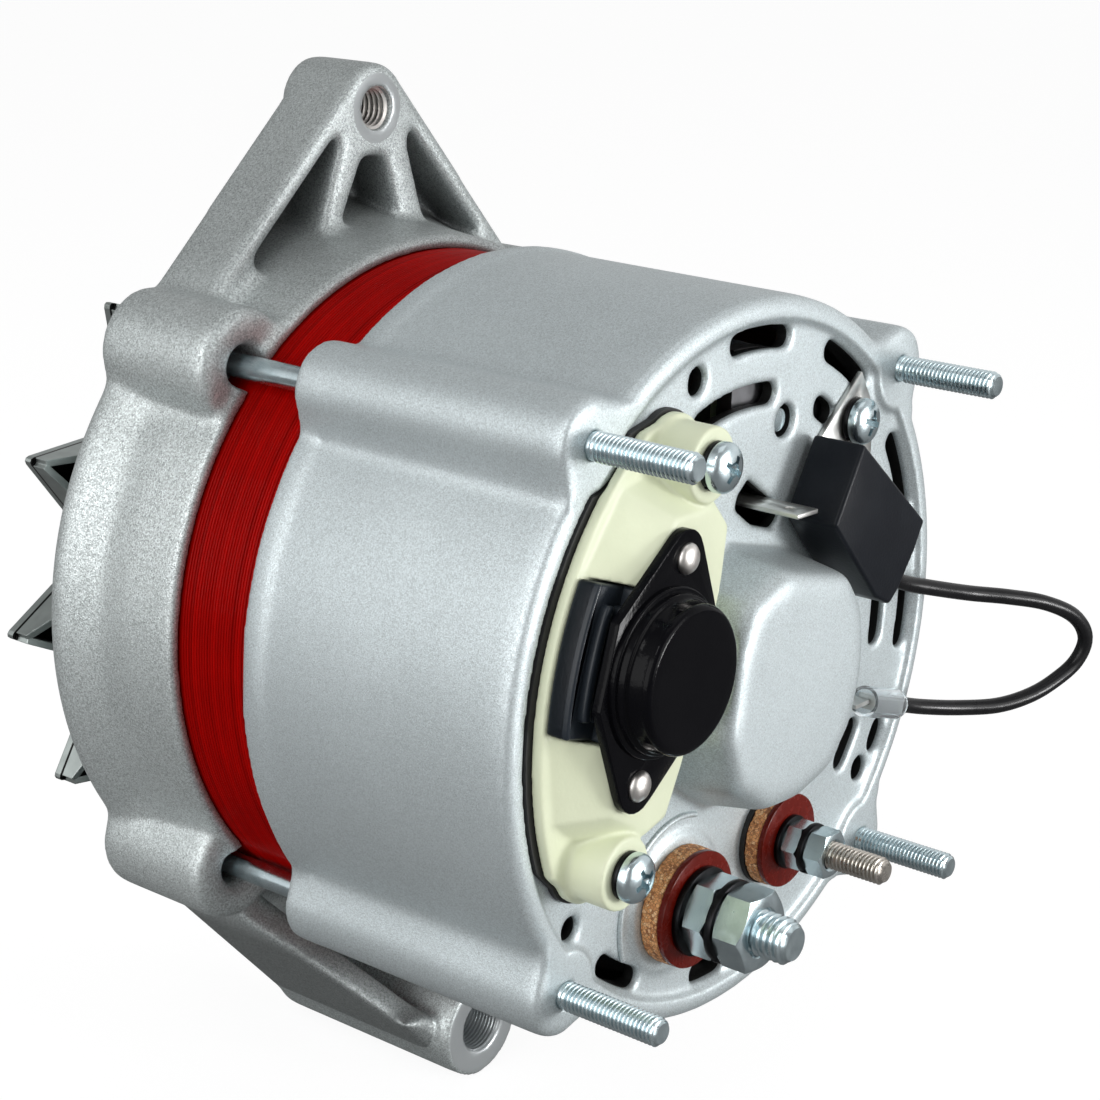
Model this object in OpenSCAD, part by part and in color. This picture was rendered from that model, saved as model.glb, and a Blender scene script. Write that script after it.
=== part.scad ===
// Alternator, 129 mm class, seen in the photo from its rear left.
// The shaft lies along Y: slip rings and terminals face -Y, the fan faces +Y, the ear points up.
// y = 0 is the rear rim of the rear housing, where the through bolts come out of their bosses.

/* [Stack] */
// circle through the four through bolts
bolt_pcd = 131; // [130:0.5:132]
// length of the laminated stator core
stack_len = 31.2; // [29:0.2:34]
// rear housing, rear rim to the edge on the core
rear_len = 57; // [56:0.5:59]
// depth of core that each housing takes in
seat_len = 7; // [6:0.5:8]
// stator bore
bore_d = 94; // [93.6:0.1:94.2]
// radial air gap between claw poles and core
air_gap = 0.45; // [0.4:0.05:0.6]

/* [Mounting] */
// shaft axis to the threaded ear hole, upwards
ear_h = 87.2; // [86:0.2:89]
// major diameter of the ear thread
ear_thread_d = 8; // [8:1:10]
// shaft axis to the pivot bore, downwards
foot_h = 88; // [87:0.5:90]
// bore of the pivot foot
foot_bore_d = 10.5; // [10.2:0.1:10.8]
// length of the pivot foot
foot_len = 47.5; // [46:0.5:50]

/* [Terminals] */
// battery stud thread
b_stud_d = 8; // [8:0.5:8.5]
// warning lamp stud thread
d_stud_d = 5; // [5:0.5:5.5]
// how far both studs reach behind the rim
stud_reach = 24; // [23:0.5:26]
// through bolt thread
bolt_d = 5; // [4.8:0.1:5.2]
// how far the through bolts reach behind the rim
bolt_reach = 19.7; // [18:0.1:21]

/* [Shaft] */
// pulley seat and front bearing bore
shaft_d = 17; // [16.6:0.1:17.2]
// shaft end in front of the core
nose_len = 68.8; // [67:0.2:71]
// outer radius of the fan
fan_r = 67.5; // [65:0.5:69]
// number of fan lobes
fan_lobes = 13; // [12:1:14]
// turn of the first lobe about the shaft
fan_turn = 19.5; // [0:0.5:27]

/* [Regulator] */
// turn of the brush holder about the shaft
holder_a = -15; // [-17:0.5:-13]
// centre distance of its two screws
holder_pitch = 66.8; // [66:0.2:68]
// radius of the round cap
cap_r = 12.3; // [11.5:0.1:12.6]

/* [Hidden] */
$fn = 64;
bolt_rc = bolt_pcd / 2;
bolt_core_r = bolt_d / 2 - 0.2;           // thread where it sits in the rear bosses
boss_r = 7.8;                             // rear bolt bosses
core_r = bolt_rc - bolt_d / 2 - 0.6;      // core outside, just clear of the bolts
barrel_r = bolt_rc - 1;                   // rear housing outside
recess_r = barrel_r - 4.2;                // rear face lies inside this rim
recess = 1.25;
wall = 3.5;
wall_in = recess + wall;                  // inner face of the rear wall
core0 = rear_len - seat_len;
core1 = core0 + stack_len;
mid = (core0 + core1) / 2;
f0 = core1 - seat_len;                    // rear edge of the front housing
f_face = f0 + 28.8;                       // its front face
bore_r = bore_d / 2;
rotor_r = bore_r - air_gap;
claw_half = stack_len / 2 + 6.4;
seat_r = shaft_d / 2;
f_brg0 = f0 + 18.2;                       // front bearing, 14 wide
f_brg1 = f_brg0 + 14;
r_brg0 = 8;                               // rear bearing, 11 wide
r_brg1 = 19;
f_pitch = (seat_r + 23.5) / 2;
r_pitch = 12.5;
f_ball = 4.3;
r_ball = 3;
groove = 0.05;                            // play between ball and race
shaft_end = core1 + nose_len;
thread_len = 18;
collar0 = f_brg1;                         // collar between bearing and fan
fan_y = f_brg1 + 6.6;                     // rear face of the fan disc
fan_t = 1.6;
ring_r = 13.5;                            // slip rings
ring_y = [-7.5, -0.5];                    // where each ring starts
ring_w = 5.5;
ear_x = -1;
ear_y = f0 + 13.8;
foot_y = f0 - 19.7;
foot_r = 10.6;
b_at = [-15, -40];                        // battery stud
d_at = [14, -36];                         // warning lamp stud
cap_screw = [31, 39];                     // screw of the capacitor
lead_r = 1.5;
phases = 3;
slots = 36;
back_iron = 4.9;                          // core behind the slots
slot_r = [bore_r + 2, core_r - back_iron];
coil_step = (slot_r[1] - slot_r[0] - 0.4) / phases;
plate_a = [-128, 92];                     // span of the rectifier plates
plate_r = [27, 55];
neg_y = wall_in + 0.3;
pos_y = neg_y + 9;
board_y = pos_y + 8;
fixing_r = 42.8;
fixing_a = [76.5, -8, -90];
diode_r = 41;
neg_diode_a = [-36, 14, 62.5];
pos_diode_a = [-50, -22.5, 32];
gasket_t = 1.2;
flange_y = recess - gasket_t;             // holder sits on its gasket
lug_y = -9.2;                             // top of the screw lugs
plate_top = -10.6;
cap_top = -16.9;
holder_u = -37;                           // screws, along the brush axis
plate_u = -41;
brush_len = 14;
brush = [5, 6.4];                         // brush along the shaft and across
brush_y = [ring_y[0] + ring_w / 2, ring_y[1] + ring_w / 2];
box_v = 4.8;
holder_reach = 50;                        // opening in the wall, out from the shaft
box_y = [-8.8, 6.2];
tower = [[-5.4, 20.6], [-15.8, 16.8], [-19.2, 9], [-21, -6.3], [-16.5, -16.5], [-7, -22.4],
         [3.3, -22.7], [13.1, -19.9], [19, -13], [21.5, -4], [21.3, 3], [19.8, 9.5], [14.6, 16]];
cap_block = [[17.8, 38.5], [41.5, 20.5], [38.7, 15.2], [34.1, 9], [31.4, 6.6], [26.2, 9], [10.2, 25]];
route = [[34.4, -4.8, 11.3], [43, -6, 7.5], [50, -8, 5.5], [60, -11, 3], [68, -15, 1.5], [76, -19, -0.5],
         [83, -22, -4], [87, -23, -9], [86, -22, -14], [81, -20, -17.5], [75, -18, -19.5],
         [68, -15, -20.5], [60, -11, -20], [52, -8, -18.6], [46.5, -6.5, -17.2], [41.8, -6.2, -15.8]];
sleeve_at = [31.6, -6.4, -12.9];
sleeve_a = -16;
blade_t = 0.8;

// cylinder along Y
module ycyl(r, y0, y1, fn = 64)
  translate([0, y1, 0]) rotate([90, 0, 0]) cylinder(r = r, h = y1 - y0, $fn = fn);

// tube along Y
module ytube(r1, r0, y0, y1, fn = 64)
  difference() { ycyl(r1, y0, y1, fn); ycyl(r0, y0 - 1, y1 + 1); }

// a flat outline in X and Z, thick along Y
module xz(y0, y1)
  translate([0, y1, 0]) rotate([90, 0, 0]) linear_extrude(y1 - y0) children();

// an outline of radius and y, turned about the shaft axis
module yrev() rotate([-90, 0, 0]) rotate_extrude($fn = 96) children();

// n copies about the shaft axis, angles counted from +X towards +Z
module polar(n, a0 = 0) for (i = [0 : n - 1]) turned(a0 + i * 360 / n) children();
module turned(a) rotate([0, -a, 0]) children();
module at(p) translate([p[0], 0, p[1]]) children();
module at_bolts() for (a = [45 : 90 : 315]) at(bolt_rc * [cos(a), sin(a)]) children();

// the brush holder's own frame: +X points at the shaft
module holder() turned(holder_a) children();
function holder_xz(u, v) =
  [u * cos(holder_a) - v * sin(holder_a), u * sin(holder_a) + v * cos(holder_a)];
holder_screws = [for (s = [1, -1]) holder_xz(holder_u, s * holder_pitch / 2)];

// an arc-shaped slot with round ends
module arc_slot(r0, r1, a0, a1) {
  rm = (r0 + r1) / 2;
  re = (r1 - r0) / 2;
  da = re / rm * 180 / PI;
  intersection() {
    difference() { circle(r = r1); circle(r = r0); }
    sector(90, a0 + da, a1 - da);
  }
  for (a = [a0 + da, a1 - da]) translate(rm * [cos(a), sin(a)]) circle(r = re - 0.03, $fn = 32);
}

module sector(r, a0, a1)
  polygon([[0, 0], for (i = [0 : 6]) let (a = a0 + (a1 - a0) * i / 6) r * [cos(a), sin(a)]]);

module ring_sector(r0, r1, a0, a1)
  intersection() {
    difference() { circle(r = r1, $fn = 96); circle(r = r0, $fn = 96); }
    sector(r1 * 1.6, a0, a1);
  }

module hex(af) circle(r = af / sqrt(3), $fn = 6);

// front housing: shell, bearing hub, bolt bosses, adjusting ear and pivot foot
module front_housing() color("silver")
  difference() {
    union() {
      yrev() polygon([
        [20, f_face], [core_r + 4.3, f_face], [core_r + 6, f_face - 1.6], [core_r + 6.8, f_face - 3.4],
        [core_r + 4, f0 + 14.5], [core_r + 2.6, f0], [core_r, f0], [core_r, core1],
        [core_r - 2, core1], [core_r - 1.6, f_face - 9], [core_r - 4.6, f_face - 4.5], [20, f_face - 4.5]]);
      ycyl(28, f_brg0, f_brg1 + 1.6);
      at_bolts() ycyl(10.5, f0 + 1.2, f_face - 1);
      ear();
      foot();
    }
    ycyl(23.5, f_brg0 - 1, f_brg1);
    ycyl(19.5, f_brg1 - 1, f_brg1 + 3);
    yrev() polygon([
      [0, f0 - 30], [core_r, f0 - 30], [core_r, core1], [core_r - 2, core1],
      [core_r - 1.6, f_face - 9], [core_r - 4.6, f_face - 4.5], [30, f_face - 4.5], [30, f_brg0],
      [0, f_brg0]]);
    xz(f_face - 6, f_face + 1)
      for (a = [0 : 36 : 324]) arc_slot(33, 54, a + 4, a + 32);
    at_bolts() {
      ycyl(bolt_d / 2 + 1.3, f0, f_face - 4);
      ycyl(6.2, f_face - 4.8, f_face + 3);
    }
    polar(3, 30) translate([25.6, 0, 0]) ycyl(1.5, f_brg0 - 1, f_brg0 + 8, 24);
    at([ear_x, ear_h]) ycyl(ear_thread_d / 2, ear_y - 1, f_face + 3);
    at([0, -foot_h]) ycyl(foot_bore_d / 2, foot_y - 1, f_face + 2);
  }

// adjusting ear: a ribbed triangle with pockets open to the rear
module ear() {
  top = ear_h + 5.9;
  difference() {
    union() {
      xz(ear_y, f_face)
        polygon([[-47, 52.3], [ear_x - 5.8, top], [ear_x + 5.8, top], [44.5, 52.3], [36, 42], [-38, 42]]);
      at([ear_x, ear_h]) ycyl(8.3, ear_y, f_face + 2.4);
    }
    xz(ear_y - 1, f_face - 4) {
      polygon([[-11, ear_h - 4.2], [-32, ear_h - 25.2], [-29, 56], [-16.5, 60], [-10.2, ear_h - 6.5]]);
      polygon([[-4, ear_h - 9], [2, ear_h - 9], [8.4, 60], [-12, 60]]);
      polygon([[9, ear_h - 4.2], [30, ear_h - 25.2], [27, 56], [16, 60], [8.2, ear_h - 6.5]]);
    }
  }
}

// pivot foot: a long bored barrel on two flanks and a middle rib
module foot() {
  at([0, -foot_h]) ycyl(foot_r, foot_y, foot_y + foot_len);
  difference() {
    union() {
      for (s = [-1, 1]) xz(foot_y + 3, f_face - 1)
        polygon([[s * 46, -56], [s * 9.2, -foot_h - 5], [s * 6, -foot_h - 1], [s * 37, -55]]);
      xz(foot_y + 14, f_face - 1) polygon([[-4, -60], [-4, -foot_h], [4, -foot_h], [4, -60]]);
      xz(f_face - 8, f_face - 1) polygon([[-44, -55], [-9, -foot_h - 3], [9, -foot_h - 3], [44, -55]]);
    }
    rotate([90, 0, 90]) translate([0, 0, -60]) linear_extrude(120)
      polygon([[foot_y - 5, -foot_h + 6], [foot_y + 6, -foot_h + 6], [f0 + 6, -58], [f0 + 6, -40],
               [foot_y - 5, -40]]);
  }
}

// rear housing: barrel, slotted rear wall, slip-ring tower and bolt bosses
module rear_housing() color("silver") {
  for (p = [holder_screws[0], holder_screws[1], cap_screw])
    at(p) ytube(3.7, 2, wall_in - 0.5, wall_in + 4, 32);
  difference() {
    union() {
      yrev() polygon([
        [0, recess], [recess_r, recess], [recess_r, 0], [barrel_r - 1.9, 0], [barrel_r - 0.7, 0.5],
        [barrel_r, 1.6], [barrel_r + 0.5, rear_len - 4.6], [barrel_r + 1, rear_len - 4.2],
        [barrel_r + 1, rear_len], [core_r, rear_len], [core_r, core0], [core_r - 2, core0],
        [core_r - 2.6, wall_in + 2.4], [core_r - 4.9, wall_in], [0, wall_in]]);
      intersection() {
        for (a = [45 : 90 : 315]) turned(a) bolt_boss();
        ycyl(90, 0, rear_len);
      }
      slip_ring_tower();
      ycyl(21.5, recess + 0.5, r_brg1 + 0.6);
      at(b_at) ycyl(12.6, recess - 0.7, wall_in);
    }
    yrev() polygon([
      [22, wall_in], [core_r - 4.9, wall_in], [core_r - 2.6, wall_in + 2.4], [core_r - 2, core0],
      [core_r, core0], [core_r, rear_len + 2], [0, rear_len + 2], [0, r_brg1 + 6], [22, r_brg1 + 6]]);
    ycyl(16, -9.8, r_brg0);
    ycyl(17.5, r_brg0, r_brg1 + 2);
    holder() translate([-holder_reach, box_y[0] - 0.9, -box_v - 1.2])
      cube([holder_reach, 17, 2 * box_v + 2.4]);
    at_bolts() ycyl(bolt_core_r, -2, rear_len + 2, 32);
    at(b_at) ycyl(b_stud_d / 2 + 1.6, -1, wall_in + 1, 32);
    at(d_at) ycyl(d_stud_d / 2 + 1.5, -1, wall_in + 1, 32);
    for (p = [holder_screws[0], holder_screws[1], cap_screw]) at(p) ycyl(2, -1, wall_in + 5, 24);
    turned(fixing_a[1]) translate([fixing_r, 0, 0]) ycyl(2, recess + 1.5, wall_in + 1, 24);
    turned(fixing_a[2]) translate([fixing_r, 0, 0]) ycyl(2, recess + 1.5, wall_in + 1, 24);
    xz(recess - 1, wall_in + 1) rear_openings();
  }
}

// a bolt boss drawn on the +X side, its flanks spread onto the barrel
module bolt_boss()
  xz(0, rear_len) {
    translate([bolt_rc, 0]) circle(r = boss_r);
    polygon([[bolt_rc + 3, 7.1], [barrel_r - 3, 11.5], [barrel_r - 3, -11.5], [bolt_rc + 3, -7.1]]);
  }

module slip_ring_tower()
  hull() {
    xz(recess, recess + 1) scale(1.09) polygon(tower);
    xz(-10.6, -10) polygon(tower);
    xz(-12.2, -11) scale(0.93) polygon(tower);
  }

// air slots and small holes of the rear wall
module rear_openings() {
  for (a = [[80, 98.5], [51, 68], [18, 36], [-10, 4], [-31, -24], [-129, -115], [-98, -87]])
    arc_slot(55.2, 59.2, a[0], a[1]);
  for (a = [[82, 112], [57, 66], [-9, 6], [-39, -26]]) arc_slot(45.4, 49.5, a[0], a[1]);
  for (h = [[-17.4, 52.2, 2.5], [10, 41.6, 3], [45.5, -31.9, 2.5], [-44.2, -35.8, 2.2]])
    translate([h[0], h[1]]) circle(r = h[2], $fn = 32);
  polygon([[0, 33], [8.5, 27.7], [11, 24.5], [8.5, 22.6], [2, 24.5], [-3.6, 28.2], [-3.2, 30.4]]);
}

// laminated core with its slots
module stator_core() color("darkred")
  xz(core0, core1) difference() {
    circle(r = core_r, $fn = 128);
    circle(r = bore_r, $fn = 128);
    for (i = [0 : slots - 1]) rotate(i * 360 / slots) {
      translate([slot_r[0], -2.1]) square([slot_r[1] - slot_r[0], 4.2]);
      translate([bore_r - 1, -1]) square([4, 2]);
    }
  }

// three phases of copper: bars in the slots, joined by a ring at each end
module stator_winding() color("sienna")
  for (p = [0 : phases - 1]) union() {
    r0 = slot_r[0] + 0.4 + p * coil_step;
    xz(core0 - 1.9, core1 + 1.9)
      for (i = [p : phases : slots - 1]) rotate(i * 360 / slots)
        translate([slot_r[0] + 0.3, -1.8]) square([slot_r[1] - slot_r[0] - 0.6, 3.6]);
    for (y = [core0 - 2.4, core1 + 1.6]) xz(y, y + 0.8)
      for (i = [p : phases : slots - 1]) rotate(i * 360 / slots)
        translate([r0, -1.8]) square([coil_step - 0.4, 3.6]);
    for (y = [core0 - 13, core1 + 2.3]) xz(y, y + 10.7)
      difference() { circle(r = r0 + coil_step - 0.4, $fn = 96); circle(r = r0, $fn = 96); }
  }

// four long bolts: hex head in front, thin shank, thread in the rear bosses
module through_bolts() color("lightsteelblue")
  at_bolts() {
    ycyl(bolt_d / 2, -bolt_reach, 0, 32);
    ycyl(bolt_core_r, -1, rear_len - 8, 32);
    ycyl(bolt_core_r - 0.1, rear_len - 9, f_face - 4.4, 32);
    xz(f_face - 4.8, f_face - 1.3) hex(8);
  }

module race(r0, r1, pitch, ball, y0, y1)
  yrev() difference() {
    translate([r0, y0]) square([r1 - r0, y1 - y0]);
    translate([pitch, (y0 + y1) / 2]) circle(r = ball + groove, $fn = 48);
  }

module outer_races() color("gainsboro") {
  race(f_pitch + 3.1, 23.5, f_pitch, f_ball, f_brg0, f_brg1);
  race(r_pitch + 2.3, 17.5, r_pitch, r_ball, r_brg0, r_brg1);
}

module inner_races() color("gainsboro") {
  race(seat_r, f_pitch - 3.1, f_pitch, f_ball, f_brg0, f_brg1);
  race(7.5, r_pitch - 2.3, r_pitch, r_ball, r_brg0, r_brg1);
}

module balls(n, pitch, ball, y)
  polar(n) translate([pitch, y, 0]) sphere(r = ball, $fn = 40);

module cage(n, pitch, ball, y, half, t)
  difference() {
    ytube(pitch + t, pitch - t, y - half, y + half);
    polar(n) translate([pitch - t - 1, y, 0]) rotate([0, 90, 0])
      cylinder(r = ball + 0.08, h = 2 * t + 2, $fn = 40);
  }

module front_balls() color("lightgray") balls(7, f_pitch, f_ball, (f_brg0 + f_brg1) / 2);
module front_cage() color("goldenrod") cage(7, f_pitch, f_ball, (f_brg0 + f_brg1) / 2, 5.3, 1);
module rear_balls() color("lightgray") balls(8, r_pitch, r_ball, (r_brg0 + r_brg1) / 2);
module rear_cage() color("goldenrod") cage(8, r_pitch, r_ball, (r_brg0 + r_brg1) / 2, 3.9, 0.8);

// plate that keeps the front bearing in its hub
module bearing_retainer() color("gray")
  difference() {
    ytube(28, 17, f_brg0 - 1.6, f_brg0);
    polar(3, 30) translate([25.6, 0, 0]) ycyl(1.6, f_brg0 - 3, f_brg0 + 1, 24);
  }

module retainer_screws() color("lightsteelblue")
  polar(3, 30) translate([25.6, 0, 0]) {
    ycyl(1.5, f_brg0 - 2, f_brg0 + 7, 24);
    ycyl(2.7, f_brg0 - 3.3, f_brg0 - 1.6, 24);
  }

// holes that a rectifier plate needs: fixings, studs and its neighbours' diodes
module plate_holes(fix_r, b_r, d_r) {
  for (a = fixing_a) translate(fixing_r * [cos(a), sin(a)]) circle(r = fix_r, $fn = 32);
  translate(b_at) circle(r = b_r, $fn = 32);
  translate(d_at) circle(r = d_r, $fn = 32);
}

module negative_plate() color("silver")
  xz(neg_y, neg_y + 3) difference() {
    ring_sector(plate_r[0], plate_r[1], plate_a[0], plate_a[1]);
    plate_holes(2, 7.5, 6);
    translate(cap_screw) circle(r = 4.4, $fn = 32);
    for (a = neg_diode_a) translate(diode_r * [cos(a), sin(a)]) circle(r = 5.4, $fn = 32);
    translate([4, 27]) square([14, 16], center = true);
  }

module positive_plate() color("silver")
  xz(pos_y, pos_y + 3) difference() {
    ring_sector(plate_r[0], plate_r[1], plate_a[0], plate_a[1]);
    plate_holes(2.8, b_stud_d / 2, 6);
    for (a = pos_diode_a) translate(diode_r * [cos(a), sin(a)]) circle(r = 5.4, $fn = 32);
    translate([4, 27]) square([14, 16], center = true);
  }

// six power diodes pressed in the plates, three small ones on the board
module diodes() color("dimgray") {
  for (a = neg_diode_a) turned(a) translate([diode_r, 0, 0]) {
    ycyl(5.4, neg_y, neg_y + 5.5, 32);
    ycyl(0.8, neg_y + 5, neg_y + 8, 16);
  }
  for (a = pos_diode_a) turned(a) translate([diode_r, 0, 0]) {
    ycyl(5.4, pos_y - 2, pos_y + 4, 32);
    ycyl(0.8, pos_y + 3, pos_y + 7.6, 16);
  }
  for (a = [-36, 6, 40]) turned(a) translate([34, 0, 0]) ycyl(2.4, board_y + 2, board_y + 8, 24);
}

module diode_board() color("black")
  xz(board_y, board_y + 2) difference() {
    ring_sector(plate_r[0] + 1, plate_r[1] - 3, plate_a[0] + 8, plate_a[1]);
    plate_holes(2, b_stud_d / 2 + 3.5, d_stud_d / 2);
    translate([4, 27]) square([14, 16], center = true);
  }

module rectifier_spacers() color("beige")
  for (a = fixing_a) turned(a) translate([fixing_r, 0, 0]) {
    ytube(2.8, 2, neg_y + 3, board_y, 32);
    ytube(4.6, 2.8, neg_y + 3, pos_y, 32);
    ytube(4.6, 2.8, pos_y + 3, board_y, 32);
  }

module rectifier_screws() color("lightsteelblue")
  for (a = fixing_a) turned(a) translate([fixing_r, 0, 0]) {
    ycyl(2, recess + 1.5, board_y + 3, 24);
    ycyl(3.6, board_y + 2, board_y + 4.6, 24);
  }

// studs: head inside, thread through the wall, a relief under the outer nut's end
module stud(r, y_nut, y_end)
  yrev() polygon([
    [0, -stud_reach], [r, -stud_reach], [r, y_nut + 0.1], [r - 0.5, y_nut + 0.1], [r - 0.5, y_nut + 1.3],
    [r, y_nut + 1.3], [r, y_end], [0, y_end]]);
module b_plus_stud() color("lightsteelblue")
  at(b_at) {
    stud(b_stud_d / 2, b0 - 18, pos_y + 4);
    xz(pos_y + 3, pos_y + 8) hex(13);
  }

module d_plus_stud() color("lightgray")
  at(d_at) {
    stud(d_stud_d / 2, d0 - 14.2, board_y + 3);
    xz(board_y + 2, board_y + 5.5) hex(8);
  }

module stud_bushes() color("dimgray") {
  at(b_at) {
    ytube(b_stud_d / 2 + 1.6, b_stud_d / 2, recess - 0.7, neg_y + 3, 32);
    ytube(7.2, b_stud_d / 2, neg_y + 3, pos_y, 32);
  }
  at(d_at) {
    ytube(d_stud_d / 2 + 1.5, d_stud_d / 2, recess, neg_y + 3, 32);
    ytube(5.6, d_stud_d / 2, neg_y + 3, board_y, 32);
  }
}

// terminal stacks, from the wall outwards
b0 = recess - 0.7;
d0 = recess;
module cork_rings() color("peru") {
  at(b_at) ytube(10.6, b_stud_d / 2, b0 - 3.4, b0);
  at(d_at) ytube(8.8, d_stud_d / 2, d0 - 3.6, d0 - 0.9);
}
module fibre_washers() color("brown") {
  at(b_at) ytube(10.6, b_stud_d / 2, b0 - 4.6, b0 - 3.4);
  at(d_at) ytube(8.8, d_stud_d / 2, d0 - 4.7, d0 - 3.6);
}
module d_gasket() color("black")
  at(d_at) ytube(9, d_stud_d / 2, d0 - 0.9, d0);
module flat_washers() color("dimgray") {
  at(b_at) ytube(8, b_stud_d / 2, b0 - 6, b0 - 4.6);
  at(d_at) ytube(5, d_stud_d / 2, d0 - 5.7, d0 - 4.7);
}
module nut(af, r, y0, y1)
  difference() {
    intersection() {
      xz(y0, y1) hex(af);
      yrev() polygon([[0, y0], [af / 2 - 0.2, y0], [af / 2 + 1, y0 + 1], [af / 2 + 1, y1 - 1],
                      [af / 2 - 0.2, y1], [0, y1]]);
    }
    ycyl(r, y0 - 1, y1 + 1);
  }
module b_plus_nuts() color("lightsteelblue")
  at(b_at) {
    nut(13, b_stud_d / 2, b0 - 10.6, b0 - 6);
    nut(13, b_stud_d / 2, b0 - 18, b0 - 12.2);
  }
module d_plus_nuts() color("lightsteelblue")
  at(d_at) {
    nut(8, d_stud_d / 2, d0 - 9, d0 - 5.7);
    nut(8, d_stud_d / 2, d0 - 14.2, d0 - 10.4);
  }
module lock_washers() color("black") {
  at(b_at) ytube(7.4, b_stud_d / 2, b0 - 12.2, b0 - 10.6);
  at(d_at) ytube(4.7, d_stud_d / 2, d0 - 10.4, d0 - 9);
  for (p = holder_screws) at(p) ytube(4.1, 2, lug_y - 1.1, lug_y, 32);
  at(cap_screw) ytube(4.1, 2, recess - 2.1, recess - 1, 32);
}

// pan-head screws with a cross recess: two on the brush holder, one on the capacitor
module cover_screws() color("lightsteelblue") {
  for (p = holder_screws) at(p) pan_screw(lug_y - 1.1);
  at(cap_screw) pan_screw(recess - 2.1);
}
module pan_screw(seat)
  difference() {
    union() {
      ycyl(2, seat, wall_in + 3, 24);
      yrev() polygon([[0, seat], [4.2, seat], [4.2, seat - 1.1], [3.5, seat - 2.1], [2, seat - 2.8],
                      [0, seat - 3]]);
    }
    for (a = [0, 90]) turned(a + 20) translate([-2, seat - 4, -0.4]) cube([4, 2.6, 0.8]);
  }

// outline of the holder flange: rim arc on the left, a lug at each end
module holder_outline(rim, lug) {
  v = holder_pitch / 2;
  intersection() {
    circle(r = rim, $fn = 128);
    polygon([[-70, -24], [-70, 24], [-holder_cut(lug), v + lug * 0.7], [holder_u + lug * 0.9, v + 1],
             [-24.5, 19], [-24.5, -19], [holder_u + lug * 0.9, -v - 1], [-holder_cut(lug), -v - lug * 0.7]]);
  }
  for (s = [-1, 1]) translate([holder_u, s * v]) circle(r = lug, $fn = 48);
}
function holder_cut(lug) = -holder_u + lug * 0.68;

module holder_gasket() color("black")
  difference() {
    holder() difference() {
      xz(flange_y, recess) holder_outline(recess_r - 0.5, 7.6);
      translate([-52, flange_y - 1, -box_v - 1.2]) cube([30, 4, 2 * box_v + 2.4]);
      for (s = [-1, 1])
        translate([holder_u, 0, s * holder_pitch / 2]) ycyl(2.2, flange_y - 1, recess + 1, 24);
    }
    at_bolts() ycyl(boss_r + 0.4, flange_y - 1, recess + 1);
  }

// cream brush holder: flange, sloping body, screw lugs and the brush box
module brush_holder() color("lightyellow")
  difference() {
    holder() holder_moulding();
    at_bolts() ycyl(boss_r + 0.4, -0.3, recess + 1);
  }
module holder_moulding()
  difference() {
    union() {
      xz(flange_y - 2.2, flange_y) holder_outline(recess_r - 1.6, 7.2);
      hull() {
        xz(flange_y - 2.4, flange_y - 2) polygon([[-56, -12], [-56, 12], [-50, 27], [-36, 33], [-26.5, 29],
          [-24.5, 18], [-24.5, -18], [-26.5, -29], [-36, -33], [-50, -27]]);
        xz(plate_top + 1.8, plate_top + 2.2) polygon([[-50, -10], [-50, 10], [-43, 24], [-33, 27], [-28, 24],
          [-26.5, 15], [-26.5, -15], [-28, -24], [-33, -27], [-43, -24]]);
      }
      for (s = [-1, 1]) translate([holder_u, 0, s * holder_pitch / 2]) ycyl(6.3, lug_y, flange_y - 1, 48);
      translate([-48, box_y[0], -box_v]) cube([48 - ring_r - 1.2, box_y[1] - box_y[0], 2 * box_v]);
    }
    translate([-60, plate_top, -12.7]) cube([14, flange_y - 2.2 - plate_top, 25.4]);
    for (y = brush_y) translate([-46, y - brush[0] / 2 - 0.05, -brush[1] / 2 - 0.05])
      cube([50, brush[0] + 0.1, brush[1] + 0.1]);
    for (s = [-1, 1]) {
      translate([holder_u, 0, s * holder_pitch / 2]) ycyl(2, lug_y - 1, 3, 24);
      translate([plate_u, 0, s * 18.4]) ycyl(1.5, plate_top, plate_top + 6, 24);
    }
  }

// black terminal block on the left of the holder, ribbed
module terminal_block() color("black")
  holder() difference() {
    xz(flange_y - 2.2 - 5.6, flange_y - 2.2)
      intersection() {
        circle(r = recess_r - 2, $fn = 128);
        translate([-60, -12.5]) square([13.8, 25]);
      }
    for (v = [-8.4 : 4.2 : 8.4]) translate([-60.5, flange_y - 9, v - 1]) cube([4.6, 5, 2]);
  }

// black diamond plate with a rivet near each tip
module regulator_plate() color("black")
  holder() translate([plate_u, 0, 0]) difference() {
    xz(plate_top, plate_top + 1.8)
      polygon([for (s = [1, -1]) each concat(
        [[s * 14.6, s * -7], [s * 14.6, s * 7]],
        [for (a = [35 : 15.7 : 145]) s * [4.7 * cos(a), 18.4 + 4.7 * sin(a)]])]);
    for (s = [-1, 1]) translate([0, 0, s * 18.4]) ycyl(1.5, plate_top - 1, plate_top + 3, 24);
  }

module regulator_rivets() color("lightgray")
  holder() for (s = [-1, 1]) translate([plate_u, 0, s * 18.4]) {
    ycyl(1.5, plate_top, plate_top + 5.4, 24);
    yrev() polygon([[0, plate_top], [2.6, plate_top], [2.4, plate_top - 0.6], [1.4, plate_top - 1.3],
                    [0, plate_top - 1.5]]);
  }

// round cap over the regulator, stepped at its foot
module regulator_cap() color("black")
  holder() translate([plate_u, 0, 0]) yrev() polygon([
    [0, plate_top], [cap_r + 1.9, plate_top], [cap_r + 1.9, plate_top - 1], [cap_r + 0.9, plate_top - 1.4],
    [cap_r + 0.9, plate_top - 2.2], [cap_r, plate_top - 2.6], [cap_r, cap_top + 0.8],
    [cap_r - 0.8, cap_top], [0, cap_top]]);

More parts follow.
